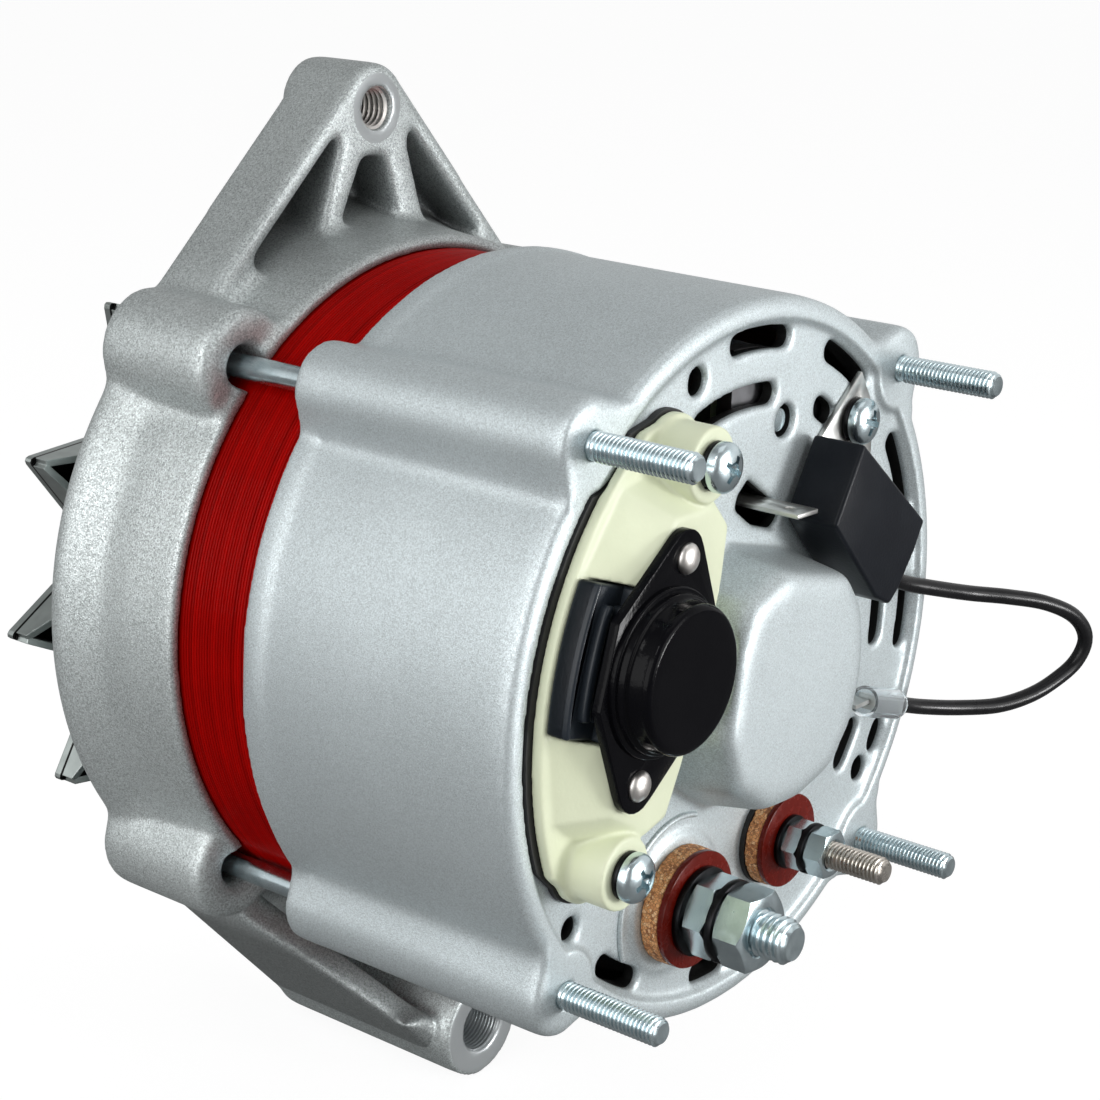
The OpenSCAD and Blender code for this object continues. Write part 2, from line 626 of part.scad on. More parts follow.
// carbon brush, its end worn to the ring
module carbon_brush(y) color("dimgray")
  holder() difference() {
    translate([-ring_r - 0.3 - brush_len, y - brush[0] / 2, -brush[1] / 2])
      cube([brush_len + 1.6, brush[0], brush[1]]);
    ycyl(ring_r + 0.04, y - 6, y + 6, 96);
  }
module brush_1() carbon_brush(brush_y[0]);
module brush_2() carbon_brush(brush_y[1]);

// stands for the coil spring behind a brush
module brush_spring(y) color("silver")
  holder() translate([-ring_r - 0.35 - brush_len, y, 0]) rotate([0, -90, 0])
    difference() {
      cylinder(r = 2.2, h = 46 - ring_r - 0.4 - brush_len, $fn = 32);
      translate([0, 0, -1]) cylinder(r = 1.7, h = 40, $fn = 32);
    }
module brush_spring_1() brush_spring(brush_y[0]);
module brush_spring_2() brush_spring(brush_y[1]);

// suppression capacitor: moulded block on a triangular tab
module capacitor_block() color("black") xz(-10.2, recess - 1) polygon(cap_block);
module capacitor_bracket() color("silver")
  xz(recess - 1, recess) difference() {
    polygon([[32.6, 47.6], [37.5, 40.5], [38.5, 26], [20, 30], [20.8, 37.6]]);
    translate(cap_screw) circle(r = 2, $fn = 24);
  }

// lead of the capacitor: an eight-sided tube along the route
function unit(v) = v / norm(v);
function tangent(p, i) = unit(p[min(i + 1, len(p) - 1)] - p[max(i - 1, 0)]);
function side(t) = unit(cross(t, [0, 1, 0.2]));
module tube_along(p, r, n = 8) {
  pts = [for (i = [0 : len(p) - 1]) let (t = tangent(p, i), s = side(t), u = cross(t, s))
    for (k = [0 : n - 1]) p[i] + r * (cos(k * 360 / n) * s + sin(k * 360 / n) * u)];
  faces = [
    [for (k = [0 : n - 1]) k],
    for (i = [0 : len(p) - 2], k = [0 : n - 1])
      [i * n + k, (i + 1) * n + k, (i + 1) * n + (k + 1) % n, i * n + (k + 1) % n],
    [for (k = [n - 1 : -1 : 0]) (len(p) - 1) * n + k]];
  polyhedron(pts, faces);
}
module capacitor_lead() color("black") tube_along(route, lead_r);

// blade on the rear wall, the crimped terminal pushed on it and its clear sleeve
module along_sleeve() translate(sleeve_at) rotate([0, -sleeve_a, 0]) children();
module lead_blade() color("lightgray") {
  translate([27.6, recess - 8.4, -13.3]) cube([4.6, 8.4, 0.8]);
  along_sleeve() translate([0, -0.4, -0.4]) cube([7, 2.2, 0.8]);
}
module lead_terminal() color("gainsboro")
  along_sleeve() difference() {
    translate([1.4, -1.65, -1.35]) cube([10.4, 3.7, 2.7]);
    translate([1, -0.5, -0.5]) cube([6.1, 2.4, 1]);
  }
module lead_sleeve() color("whitesmoke")
  along_sleeve() rotate([0, 90, 0]) translate([0, 0.2, 0.6]) difference() {
    cylinder(r = 2.9, h = 11.6, $fn = 32);
    translate([0, 0, -1]) cylinder(r = 2.3, h = 14, $fn = 32);
  }

// flat terminal that stands in the rear wall's open window
module spade_terminal() color("silver") {
  difference() {
    translate([1, -8.2, 27.6]) cube([6.3, board_y + 8.2, blade_t]);
    translate([4.15, -4.6, 27]) cylinder(r = 0.9, h = 2, $fn = 24);
  }
  translate([1, board_y - blade_t, 27.6]) cube([6.3, blade_t, 8]);
}

// shaft, one turned piece, with a relief groove between the fan and the pulley seat
relief = fan_y + fan_t + 1.4;
module shaft() color("gray")
  yrev() polygon([
    [0, -8.6], [7, -8.6], [7, 6.4], [7.5, 6.4], [7.5, r_brg1 + 0.2], [9.6, r_brg1 + 0.2],
    [9.6, mid - claw_half], [9, mid - claw_half], [9, mid + claw_half], [10.6, mid + claw_half],
    [10.6, f_brg0], [seat_r, f_brg0], [seat_r, relief], [seat_r - 0.4, relief],
    [seat_r - 0.4, relief + 1], [seat_r, relief + 1], [seat_r, shaft_end - thread_len],
    [8, shaft_end - thread_len], [8, shaft_end - 1], [7.2, shaft_end], [0, shaft_end]]);

// claw poles: a disc with six tapering fingers bent over the coil
module claw(dir, a0) {
  y0 = mid - dir * claw_half;
  tip = mid + dir * (claw_half - 5);
  inner = mid - dir * 11;
  difference() {
    union() {
      ycyl(35, min(y0, inner), max(y0, inner));
      intersection() {
        yrev() polygon([[30, y0], [rotor_r, y0], [rotor_r, tip], [rotor_r - 3.6, tip],
                        [36.6, inner], [30, inner]]);
        polar(6, a0) rotate([0, 90, 0]) translate([0, 0, 28]) linear_extrude(22)
          polygon([[-10, y0], [10, y0], [4.2, tip], [-4.2, tip]]);
      }
    }
    ycyl(9, min(y0, inner) - 1, max(y0, inner) + 1);
  }
}
module rear_claw_pole() color("dimgray") claw(1, 0);
module front_claw_pole() color("dimgray") claw(-1, 30);
module pole_core() color("dimgray") ytube(22, 9, mid - 11, mid + 11);

module coil_bobbin() color("beige")
  yrev() polygon([
    [22, mid - 11], [35.6, mid - 11], [35.6, mid - 10], [23, mid - 10], [23, mid + 10], [35.6, mid + 10],
    [35.6, mid + 11], [22, mid + 11]]);
module field_coil() color("sienna") ytube(35, 23, mid - 10, mid + 10);

module slip_rings() color("peru")
  for (y = ring_y) ytube(ring_r, 10.5, y, y + ring_w, 96);
module ring_insulator() color("black")
  yrev() polygon([
    [7, -8.4], [13, -8.4], [13, ring_y[0]], [10.5, ring_y[0]], [10.5, ring_y[0] + ring_w],
    [13, ring_y[0] + ring_w], [13, ring_y[1]], [10.5, ring_y[1]], [10.5, ring_y[1] + ring_w],
    [13, ring_y[1] + ring_w], [13, 6.2], [7, 6.2]]);

module shaft_collar() color("gray") ytube(12.4, seat_r, collar0, fan_y - 1);

// pressed fan: a disc with pointed lobes, both edges of each folded back as walls
lobe_len = 21;                            // from the tip to the disc
lobe_open = 28;                           // each edge against the lobe's own line
lobe_tip = 0.8;                           // half width of the blunt tip
wall_t = 1.3;
wall_len = 18;                            // along the edge, from the tip
blade_y = fan_y - 8.6;                    // rear edge of the walls
module fan_wall() {
  translate([fan_r - 0.5, 0, lobe_tip]) rotate([0, lobe_open, 0]) translate([0, 0, -wall_t])
    linear_extrude(wall_t) polygon([
      [0, fan_y + fan_t], [0, fan_y - 3], [-wall_len / 2, blade_y + 1.5], [-wall_len / 2, blade_y],
      [2 - wall_len, blade_y], [-wall_len, fan_y], [-wall_len, fan_y + fan_t]]);
}
module fan_lobe() {
  root = lobe_tip + lobe_len * tan(lobe_open);
  xz(fan_y, fan_y + fan_t) polygon([
    [fan_r - 0.5 - lobe_len, -root], [fan_r - 0.5, -lobe_tip], [fan_r, 0.5 - lobe_tip],
    [fan_r, lobe_tip - 0.5], [fan_r - 0.5, lobe_tip], [fan_r - 0.5 - lobe_len, root]]);
  fan_wall();
  mirror([0, 0, 1]) fan_wall();
}
module fan() color("lightgray") rotate([0, -fan_turn, 0]) difference() {
  union() {
    ycyl(fan_r - lobe_len + 0.5, fan_y, fan_y + fan_t, 96);
    ycyl(14, fan_y - 1, fan_y + fan_t + 1.4);
    polar(fan_lobes) fan_lobe();
  }
  ycyl(seat_r, fan_y - 3, fan_y + 6);
  polar(6) translate([27, 0, 0]) ycyl(4.5, fan_y - 3, fan_y + 6, 32);
}

front_housing();
rear_housing();
stator_core();
stator_winding();
through_bolts();
outer_races();
bearing_retainer();
retainer_screws();
positive_plate();
negative_plate();
diodes();
diode_board();
rectifier_spacers();
rectifier_screws();
b_plus_stud();
b_plus_nuts();
d_plus_stud();
d_plus_nuts();
stud_bushes();
cork_rings();
fibre_washers();
flat_washers();
lock_washers();
d_gasket();
brush_holder();
holder_gasket();
terminal_block();
regulator_plate();
regulator_cap();
regulator_rivets();
cover_screws();
capacitor_block();
capacitor_bracket();
capacitor_lead();
lead_terminal();
lead_sleeve();
lead_blade();
spade_terminal();
shaft();
rear_claw_pole();
front_claw_pole();
pole_core();
coil_bobbin();
field_coil();
slip_rings();
ring_insulator();
inner_races();
shaft_collar();
fan();
front_balls();
front_cage();
rear_balls();
rear_cage();
brush_1();
brush_2();
brush_spring_1();
brush_spring_2();
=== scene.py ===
"""Looks of a claw-pole alternator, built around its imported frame. Metres, shaft along Y, fan towards +Y."""

import math

import bmesh
import bpy
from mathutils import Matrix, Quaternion, Vector


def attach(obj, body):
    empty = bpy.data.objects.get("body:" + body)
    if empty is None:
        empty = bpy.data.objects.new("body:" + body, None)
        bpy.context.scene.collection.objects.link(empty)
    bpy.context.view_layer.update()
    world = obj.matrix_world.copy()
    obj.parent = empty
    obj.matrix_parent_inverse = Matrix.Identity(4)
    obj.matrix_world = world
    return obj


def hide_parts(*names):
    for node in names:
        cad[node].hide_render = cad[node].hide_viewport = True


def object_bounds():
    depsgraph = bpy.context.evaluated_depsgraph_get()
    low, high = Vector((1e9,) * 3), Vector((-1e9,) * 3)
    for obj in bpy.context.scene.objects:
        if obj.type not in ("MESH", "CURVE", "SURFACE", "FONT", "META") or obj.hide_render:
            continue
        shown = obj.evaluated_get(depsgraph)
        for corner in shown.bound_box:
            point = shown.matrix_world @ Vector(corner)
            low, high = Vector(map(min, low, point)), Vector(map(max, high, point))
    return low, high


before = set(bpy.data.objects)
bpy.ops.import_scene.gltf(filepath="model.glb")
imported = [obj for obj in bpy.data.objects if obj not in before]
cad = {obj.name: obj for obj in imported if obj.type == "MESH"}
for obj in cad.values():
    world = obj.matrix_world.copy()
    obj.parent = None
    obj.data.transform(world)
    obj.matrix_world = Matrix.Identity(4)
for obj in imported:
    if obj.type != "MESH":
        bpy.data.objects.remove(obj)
cad_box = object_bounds()
scene = bpy.context.scene
mm = 0.001


# Camera
# It stands behind the machine and to its left, as in the photograph, a little rolled.
eye = Vector((-0.33646, -0.21632, 0.13180))
looks_at = Vector((-0.01660, 0.03068, 0.01743))
roll = math.radians(2.77)


def linked(name, data):
    """A new object in the scene."""
    made = bpy.data.objects.new(name, data)
    scene.collection.objects.link(made)
    return made


camera = linked("camera", bpy.data.cameras.new("camera"))
camera.data.sensor_width = 36
camera.data.lens = 79.09
camera.location = eye
camera.rotation_mode = "QUATERNION"
camera.rotation_quaternion = (looks_at - eye).to_track_quat("-Z", "Y") @ Quaternion((0, 0, 1), roll)
scene.camera = camera
scene.view_settings.view_transform = "Standard"


# Floor, sky and lamps
# A pale floor under the foot, a sky that is white to the camera and, to the metal, bright on the left and
# dim above and behind, and five lamps: a wide one on the left, a small one over the left shoulder, a weak
# one high above and two from behind.
class Wire:
    """A node's output. Sums and products on it add Math nodes, and node() adds any other node."""

    def __init__(self, tree, socket=None):
        self.tree, self.socket = tree, socket

    def node(self, kind, sockets, out=0, stops=(), **settings):
        made = self.tree.nodes.new(kind)
        for key, value in settings.items():
            setattr(made, key, value)
        if stops:
            ramp = made.color_ramp
            for at, colour in stops[1:-1]:
                ramp.elements.new(at).color = (*colour, 1)
            for end in (0, -1):
                ramp.elements[end].position = stops[end][0]
                ramp.elements[end].color = (*stops[end][1], 1)
        for key, value in sockets.items():
            if isinstance(value, Wire):
                self.tree.links.new(value.socket, made.inputs[key])
            else:
                made.inputs[key].default_value = value
        return Wire(self.tree, made.outputs[out] if made.outputs else None)

    def math(self, operation, *values, clamp=False):
        return self.node("ShaderNodeMath", dict(enumerate(values)), operation=operation, use_clamp=clamp)

    def most(self, other):
        return self.math("MAXIMUM", self, other)

    def least(self, other):
        return self.math("MINIMUM", self, other)

    def above(self, limit):
        """1 where this is more than the limit."""
        return self.math("GREATER_THAN", self, limit)

    def below(self, limit):
        """1 where this is less than the limit."""
        return self.math("LESS_THAN", self, limit)

    def held(self):
        """This, kept between 0 and 1."""
        return self.math("MULTIPLY", self, 1.0, clamp=True)

    def mix(self, low, high):
        """The colour low where this is 0, and high where it is 1."""
        low, high = ((*c, 1) if isinstance(c, tuple) else c for c in (low, high))
        return self.node("ShaderNodeMix", {0: self, 6: low, 7: high}, out=2, data_type="RGBA")

    def __add__(self, other):
        return self.math("ADD", self, other)

    def __sub__(self, other):
        return self.math("SUBTRACT", self, other)

    def __rsub__(self, other):
        return self.math("SUBTRACT", other, self)

    def __mul__(self, other):
        return self.math("MULTIPLY", self, other)

    def __truediv__(self, other):
        return self.math("DIVIDE", self, other)

    def __rtruediv__(self, other):
        return self.math("DIVIDE", other, self)

    __radd__ = __add__
    __rmul__ = __mul__


world = bpy.data.worlds.new("studio")
scene.world = world
world.use_nodes = True
sky = Wire(world.node_tree)
leftward = sky.node(
    "ShaderNodeVectorMath", {0: sky.node("ShaderNodeTexCoord", {}), 1: (-0.90, 0.24, -0.08)}, out=1,
    operation="DOT_PRODUCT")
greys = [(0.0, 0.85), (0.16, 0.60), (0.31, 0.34), (0.62, 0.15), (0.88, 0.9), (1.0, 1.0)]
graded = sky.node(
    "ShaderNodeValToRGB", {0: leftward * 0.5 + 0.5}, stops=[(at, (grey,) * 3) for at, grey in greys])
seen, glossy, through = (sky.node("ShaderNodeLightPath", {}, out=i) for i in (0, 3, 6))
white = (seen + through).math("ADD", seen + through, glossy * 0.12, clamp=True)
world.node_tree.links.new(
    white.mix(graded, (1.0, 1.0, 1.0)).socket, world.node_tree.nodes["Background"].inputs["Color"])

floor_mesh = bpy.data.meshes.new("floor")
bm = bmesh.new()
bmesh.ops.create_circle(bm, cap_ends=True, radius=14, segments=64)
bmesh.ops.translate(bm, verts=bm.verts, vec=(0, 0, cad_box[0].z))
bm.to_mesh(floor_mesh)
bm.free()
floor = linked("floor", floor_mesh)
floor_paint = bpy.data.materials.new("floor_paint")
floor_paint.use_nodes = True
paint = Wire(floor_paint.node_tree)
nodes = floor_paint.node_tree.nodes
bare = paint.node("ShaderNodeLightPath", {}).mix((0.20, 0.20, 0.20), (0.88, 0.88, 0.88))
floor_paint.node_tree.links.new(bare.socket, nodes["Principled BSDF"].inputs["Base Color"])
nodes["Principled BSDF"].inputs["Roughness"].default_value = 0.7
glow = paint.node("ShaderNodeEmission", {"Color": (1, 1, 1, 1), "Strength": 1.12})
lit = paint.node("ShaderNodeLightPath", {}) * 0.80
whitened = paint.node(
    "ShaderNodeMixShader", {0: lit, 1: Wire(paint.tree, nodes["Principled BSDF"].outputs[0]), 2: glow})
floor_paint.node_tree.links.new(whitened.socket, nodes["Material Output"].inputs["Surface"])
floor_mesh.materials.append(floor_paint)

for name, place, size, watts in [
    ("left", (-1.08, 0.04, 0.20), 1.00, 7.8),
    ("key", (-0.75, -0.25, 0.85), 0.22, 1.0),
    ("top", (0.10, -0.10, 1.10), 0.80, 1.2),
    ("fill", (0.22, -1.02, 0.20), 0.90, 5.8),
    ("low", (0.34, -0.80, -0.01), 0.20, 4.2),
]:
    lamp = bpy.data.lights.new(name, "AREA")
    lamp.size, lamp.energy = size, watts
    light = linked(name, lamp)
    light.location = place
    light.rotation_mode = "QUATERNION"
    light.rotation_quaternion = (-Vector(place)).to_track_quat("-Z", "Y")


# Capacitor lead
# A short PVC-covered wire that leaves the suppression capacitor, bows out behind the machine and comes
# back to a push-on terminal. It is made first, because its solid in the part follows the same points.
route = [
    (34.4, -4.8, 11.3), (43, -6, 7.5), (50, -8, 5.5), (60, -11, 3), (68, -15, 1.5), (76, -19, -0.5),
    (83, -22, -4), (87, -23, -9), (86, -22, -14), (81, -20, -17.5), (75, -18, -19.5), (68, -15, -20.5),
    (60, -11, -20), (52, -8, -18.6), (46.5, -6.5, -17.2), (41.8, -6.2, -15.8),
]
lead_r = 1.5 * mm


def material(name):
    """A new material, and the Object coordinates in its tree."""
    made = bpy.data.materials.new(name)
    made.use_nodes = True
    return made, Wire(made.node_tree).node("ShaderNodeTexCoord", {}, out=3)


def coat(made, place, colour, roughness, metallic=0.0, height=None, depth=0.0001, edge=0.0, **fixed):
    """Sets the shader. height feeds its bump, and edge is the radius that softens its corners."""
    shader = made.node_tree.nodes["Principled BSDF"]
    inputs = {"Base Color": colour, "Roughness": roughness, "Metallic": metallic, **fixed}
    normal = place.node("ShaderNodeBevel", {"Radius": edge}, samples=4) if edge else None
    if height is not None:
        extra = {"Normal": normal} if normal else {}
        normal = place.node("ShaderNodeBump", {"Height": height, "Distance": depth, **extra})
    if normal:
        inputs["Normal"] = normal
    for key, value in inputs.items():
        if isinstance(value, Wire):
            made.node_tree.links.new(value.socket, shader.inputs[key])
        elif isinstance(value, tuple):
            shader.inputs[key].default_value = (*value, 1)
        else:
            shader.inputs[key].default_value = value
    return made


def grain(place, size, detail=2.0, roughness=0.5, **more):
    """Noise from 0 to 1 whose grains are about size metres across."""
    sockets = {"Vector": place, "Scale": 1 / size, "Detail": detail, "Roughness": roughness, **more}
    return place.node("ShaderNodeTexNoise", sockets)


pvc, place = material("lead_pvc")
dust = grain(place, 3 * mm)
coat(pvc, place, dust.mix((0.004, 0.004, 0.005), (0.010, 0.010, 0.011)), 0.2 + dust * 0.15,
     height=grain(place, 6 * mm), depth=0.1 * mm, **{"Specular IOR Level": 0.25})


def smooth_path(points, steps):
    """A curve through the points, steps places to each stretch."""
    ends = [2 * points[0] - points[1], *points, 2 * points[-1] - points[-2]]
    path = []
    for a, b, c, d in zip(ends, ends[1:], ends[2:], ends[3:]):
        for k in range(steps):
            t = k / steps
            path.append(0.5 * (2 * b + (c - a) * t + (2 * a - 5 * b + 4 * c - d) * t * t
                               + (3 * b - a - 3 * c + d) * t ** 3))
    return [*path, points[-1]]


def tube(name, path, radius, steps, finish):
    """A round bar along a path in metres, as a curve with closed ends."""
    curve = bpy.data.curves.new(name, "CURVE")
    curve.dimensions = "3D"
    curve.bevel_depth, curve.bevel_resolution = radius, steps
    curve.use_fill_caps = True
    spline = curve.splines.new("POLY")
    spline.points.add(len(path) - 1)
    for point, at in zip(spline.points, path):
        point.co = (*at, 1)
    spline.use_smooth = True
    curve.materials.append(finish)
    return linked(name, curve)


lead_path = smooth_path([Vector(p) * mm for p in route], 6)
lead = tube("capacitor_lead_sheath", lead_path, lead_r, 5, pvc)
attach(lead, "housing")
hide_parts("capacitor_lead")
sum((b - a).length for a, b in zip(lead_path, lead_path[1:]))


# Push-on terminal, its sleeve and blades
# A crimped tin-plated receptacle in a clear sleeve, pushed on the blade of the rear wall. A second,
# longer blade stands free in the open window of the wall.
def dress(finish, *names):
    """Gives CAD nodes a finish."""
    for name in names:
        for slot in cad[name].material_slots:
            slot.material = finish


tin, place = material("tin_plate")
smear = grain(place, 2.5 * mm, 3.0)
coat(tin, place, smear.mix((0.55, 0.55, 0.53), (0.72, 0.72, 0.70)), 0.26 + smear * 0.2, 1.0,
     height=smear, depth=0.03 * mm, edge=0.15 * mm)
dress(tin, "lead_terminal", "lead_blade", "spade_terminal", "capacitor_bracket")
clear, place = material("clear_sleeve")
coat(clear, place, (0.88, 0.93, 0.96), 0.03 + grain(place, 1.5 * mm) * 0.06, IOR=1.44,
     **{"Transmission Weight": 0.94})
dress(clear, "lead_sleeve")


# Front housing
# A coarse sand casting with the adjusting ear, the pivot foot and the bearing hub. Only the seat on the
# stator, the face of the ear's hole and the end of the foot are machined.
def separate(place):
    """The x, y and z of a place."""
    return (place.node("ShaderNodeSeparateXYZ", {0: place}, out=i) for i in range(3))


def cast(name, dark, light, size, depth, shade_and_dirt, machined=None):
    """Cast aluminium with grains of that size. The mask after depth, from 0 to 1, darkens the skin with
    painted shade, which on the front housing is partly dirt, and machined is 1 where a tool has cut it."""
    made, place = material(name)
    axes = list(separate(place))
    fine = grain(place, size, 4.0, 0.7)
    flakes = {"Vector": place, "Scale": 1.1 / size}
    flake = place.node("ShaderNodeSeparateXYZ", {0: place.node("ShaderNodeTexVoronoi", flakes, out=1)})
    pit = place.node("ShaderNodeTexVoronoi", flakes)
    tone = fine * 1.9 + flake * 0.6 + grain(place, 22 * mm) * 0.3
    colour = (tone - 0.88).held().mix(dark, light)
    rough = 0.56 - flake * 0.2
    relief = fine * 0.8 + pit * 0.5
    if machined:
        cut = machined(*axes)
        colour = cut.mix(colour, (0.52, 0.55, 0.56))
        rough = rough * (1 - cut) + cut * 0.3
        feed = axes[1] * (2 * math.pi / (0.8 * mm))
        relief = relief * (1 - cut) + feed.math("SINE", feed) * cut * 0.8
    # Painted shade: where the mask is 1 the skin turns near-black (0.03).
    colour = shade_and_dirt(*axes).mix(colour, (0.03, 0.03, 0.03))
    return coat(made, place, colour, rough, 0.6, height=relief, depth=depth)


ear_at, foot_at = (-1, 87.2), (0, -88)


def near(x, z, centre, radius):
    """1 within radius of an axis along Y (mm)."""
    dx, dz = x - centre[0] * mm, z - centre[1] * mm
    return (dx * dx + dz * dz).below((radius * mm) ** 2)


def front_cuts(x, y, z):
    """Where the front housing is machined: round the ear's hole, and the foot's end and bore."""
    ear = near(x, z, ear_at, 6.4) * y.below(88.1 * mm)
    foot = near(x, z, foot_at, 10) * y.below(54.6 * mm)
    return ear.most(foot.most(near(x, z, foot_at, 6.6)))


def shaded_room(y0, y1, radius):
    """A mask of the room inside a housing, from y0 to y1 and within a radius (mm), where shade is painted on
    the casting.
    """
    def mask(x, y, z):
        return y.above(y0 * mm) * y.below(y1 * mm) * near(x, z, (0, 0), radius)
    return mask


def front_shade_and_dirt(x, y, z):
    """Painted shade, partly dirt, on the front housing: full painted shade in its room, painted shade and
    dirt by half on the foot's web, darker towards the top of the ear by up to a quarter, and painted shade
    and dirt deeper in the ear's pockets."""
    side = (x + 1 * mm).math("ABSOLUTE", x + 1 * mm) + z
    pocket = (y - 89 * mm) / (8 * mm) * z.above(55 * mm)
    pocket = pocket.math("MULTIPLY", pocket, side.below(94.6 * mm) * 0.55, clamp=True).least(0.55)
    ear, web = (z - 50 * mm) / (12 * mm), (z + 60 * mm) / (-8 * mm)
    web = (web * (1 - near(x, z, foot_at, 12))).held()
    return (ear.held() * 0.26 + web * 0.5 + pocket).most(shaded_room(70, 98.6, 60)(x, y, z))


# The front casting's darkening is painted shade, partly dirt.
sand_cast = cast("cast_front", (0.25, 0.27, 0.27), (0.76, 0.82, 0.82), 0.27 * mm, 0.07 * mm,
                 front_shade_and_dirt, front_cuts)


def geometry_tree(name, **sizes):
    """Opens a Geometry Nodes tree that takes a mesh and these sizes. Gives the wires by name."""
    made = bpy.data.node_groups.new(name, "GeometryNodeTree")
    made.interface.new_socket("Geometry", in_out="OUTPUT", socket_type="NodeSocketGeometry")
    made.interface.new_socket("Geometry", in_out="INPUT", socket_type="NodeSocketGeometry")
    for label, size in sizes.items():
        kind = {int: "Int", float: "Float"}.get(type(size), "Object")
        made.interface.new_socket(label, in_out="INPUT", socket_type=f"NodeSocket{kind}").default_value = size
    made.interface.new_socket("Finish", in_out="INPUT", socket_type="NodeSocketMaterial")
    entry = made.nodes.new("NodeGroupInput")
    return {socket.name: Wire(made, socket) for socket in entry.outputs if socket.name}


def close_tree(end, finish):
    """Ends a tree: instances made real, and the finish put on."""
    real = end.node("GeometryNodeRealizeInstances", {0: end})
    done = real.node("GeometryNodeSetMaterial", {0: real, 2: finish})
    done.node("NodeGroupOutput", {0: done})
    return end.tree


def run_tree(piece, tree, finish, **sizes):
    """Puts a tree on a piece, and leaves the plain mesh that it makes."""
    maker = piece.modifiers.new(tree.name, "NODES")
    maker.node_group = tree
    for item in tree.interface.items_tree:
        if item.in_out == "INPUT" and item.name in sizes:
            maker[item.identifier] = sizes[item.name]
        if item.name == "Finish":
            maker[item.identifier] = finish
    piece.update_tag()
    settle(piece)
    return piece


def settle(piece):
    """Makes what a piece's modifiers show its own mesh, and removes them."""
    graph = bpy.context.evaluated_depsgraph_get()
    mesh = bpy.data.meshes.new_from_object(piece.evaluated_get(graph), depsgraph=graph)
    piece.modifiers.clear()
    piece.data = mesh
    return mesh


def copy_of(name, suffix):
    """A welded copy of a CAD node's mesh, as a piece of its own that stands for the node."""
    shape = bmesh.new()
    shape.from_mesh(cad[name].data)
    bmesh.ops.remove_doubles(shape, verts=shape.verts, dist=1e-6)
    mesh = bpy.data.meshes.new(f"{name}_{suffix}")
    shape.to_mesh(mesh)
    shape.free()
    return linked(mesh.name, mesh)


def vector(wire, x=0.0, y=0.0, z=0.0):
    """A vector from three numbers or wires."""
    return wire.node("ShaderNodeCombineXYZ", {0: x, 1: y, 2: z})


def eased(name, voxel, passes, keep, finish, limit=185000, swell=None):
    """A node as it leaves its mould, in at most limit triangles: corners and joins rounded, less where
    keep gives less than 1. swell widens it about the shaft by a share of its radius."""
    piece = copy_of(name, "casting")
    skin = piece.modifiers.new("skin", "REMESH")
    skin.mode = "VOXEL"
    skin.voxel_size = voxel
    settle(piece)
    ends = geometry_tree(f"{name}_fillets", Passes=passes)
    place = ends["Geometry"].node("GeometryNodeInputPosition", {})
    x, y, z = separate(place)
    start = ends["Geometry"]
    if swell:
        share = swell(x, y, z)
        start = place.node("GeometryNodeSetPosition", {0: start, 3: vector(place, x * share, z=z * share)})
    blurred = place.node("GeometryNodeBlurAttribute", {0: place, 1: ends["Passes"], 2: keep(x, y, z)},
                         data_type="FLOAT_VECTOR")
    moved = blurred.node("GeometryNodeSetPosition", {0: start, 2: blurred})
    run_tree(piece, close_tree(moved, ends["Finish"]), finish)
    triangles = sum(len(f.vertices) - 2 for f in piece.data.polygons)
    if triangles > limit:
        thin = piece.modifiers.new("thin", "DECIMATE")
        thin.ratio = limit / triangles
        settle(piece)
    piece.data.shade_smooth()
    return piece


def fitted(piece, body, slot, *nodes):
    """Hands a finished piece to its body, and lets it stand for nodes. slot is not used."""
    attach(piece, body)
    if nodes:
        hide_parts(*nodes)
    return piece


bolt_places = [(s * 46.32, t * 46.32) for s in (-1, 1) for t in (-1, 1)]


def front_keep(x, y, z):
    """How far the mould rounds the front housing: hardly at its seats, holes and rims, by half on the ear,
    fully elsewhere."""
    tight = near(x, z, (0, 0), 21.5)
    for centre in bolt_places:
        tight = tight.most(near(x, z, centre, 3.4))
    tight = tight.most(near(x, z, ear_at, 5)).most(near(x, z, foot_at, 7.5)).most(y.below(55.2 * mm))
    crease = y.above(90 * mm) * y.below(93 * mm) * (1 - near(x, z, (0, 0), 60)) * near(x, z, (0, 0), 68)
    tight = tight.most(crease * 0.9).most(z.above(56 * mm) * 0.6)
    tight = tight.most(y.below(75.6 * mm) * near(x, z, (0, 0), 70.5) * 0.85)
    tight = tight.most(y.above(96 * mm) * near(x, z, (0, 0), 62) * 0.75)
    return 1 - tight * 0.98


def front_waist(x, y, z):
    """Draws the skin in between the bosses where its straight part meets the flare, up to 1.1 mm."""
    out = x * x + z * z
    off = (y - 91.5 * mm).math("ABSOLUTE", y - 91.5 * mm) / (5.8 * mm)
    share = out.above((63.5 * mm) ** 2) * out.below((70 * mm) ** 2) * (1 - off).held()
    for u, v in bolt_places:
        far = (x - u * mm) * (x - u * mm) + (z - v * mm) * (z - v * mm)
        share = share * (far.math("SQRT", far) / (3 * mm) - 3.9).held()
    share = share * ((50 * mm - z) / (5 * mm)).held() * ((z + 55 * mm) / (5 * mm)).held()
    return share * -0.0165


front = eased("front_housing", 0.55 * mm, 26, front_keep, sand_cast, swell=front_waist)
fitted(front, "housing", "cast_front", "front_housing")


# Rear housing
# A finer die casting, shot-blasted to an even satin, with the slotted wall and the slip-ring tower.
# Painted shade: from 2.4 mm behind the wall's face and within 62.6 mm, the slots' walls and the room are
# darkened as if in shadow.
blasted = cast("cast_rear", (0.38, 0.42, 0.43), (0.68, 0.75, 0.77), 0.22 * mm, 0.04 * mm,
               shaded_room(2.4, 60, 62.6))


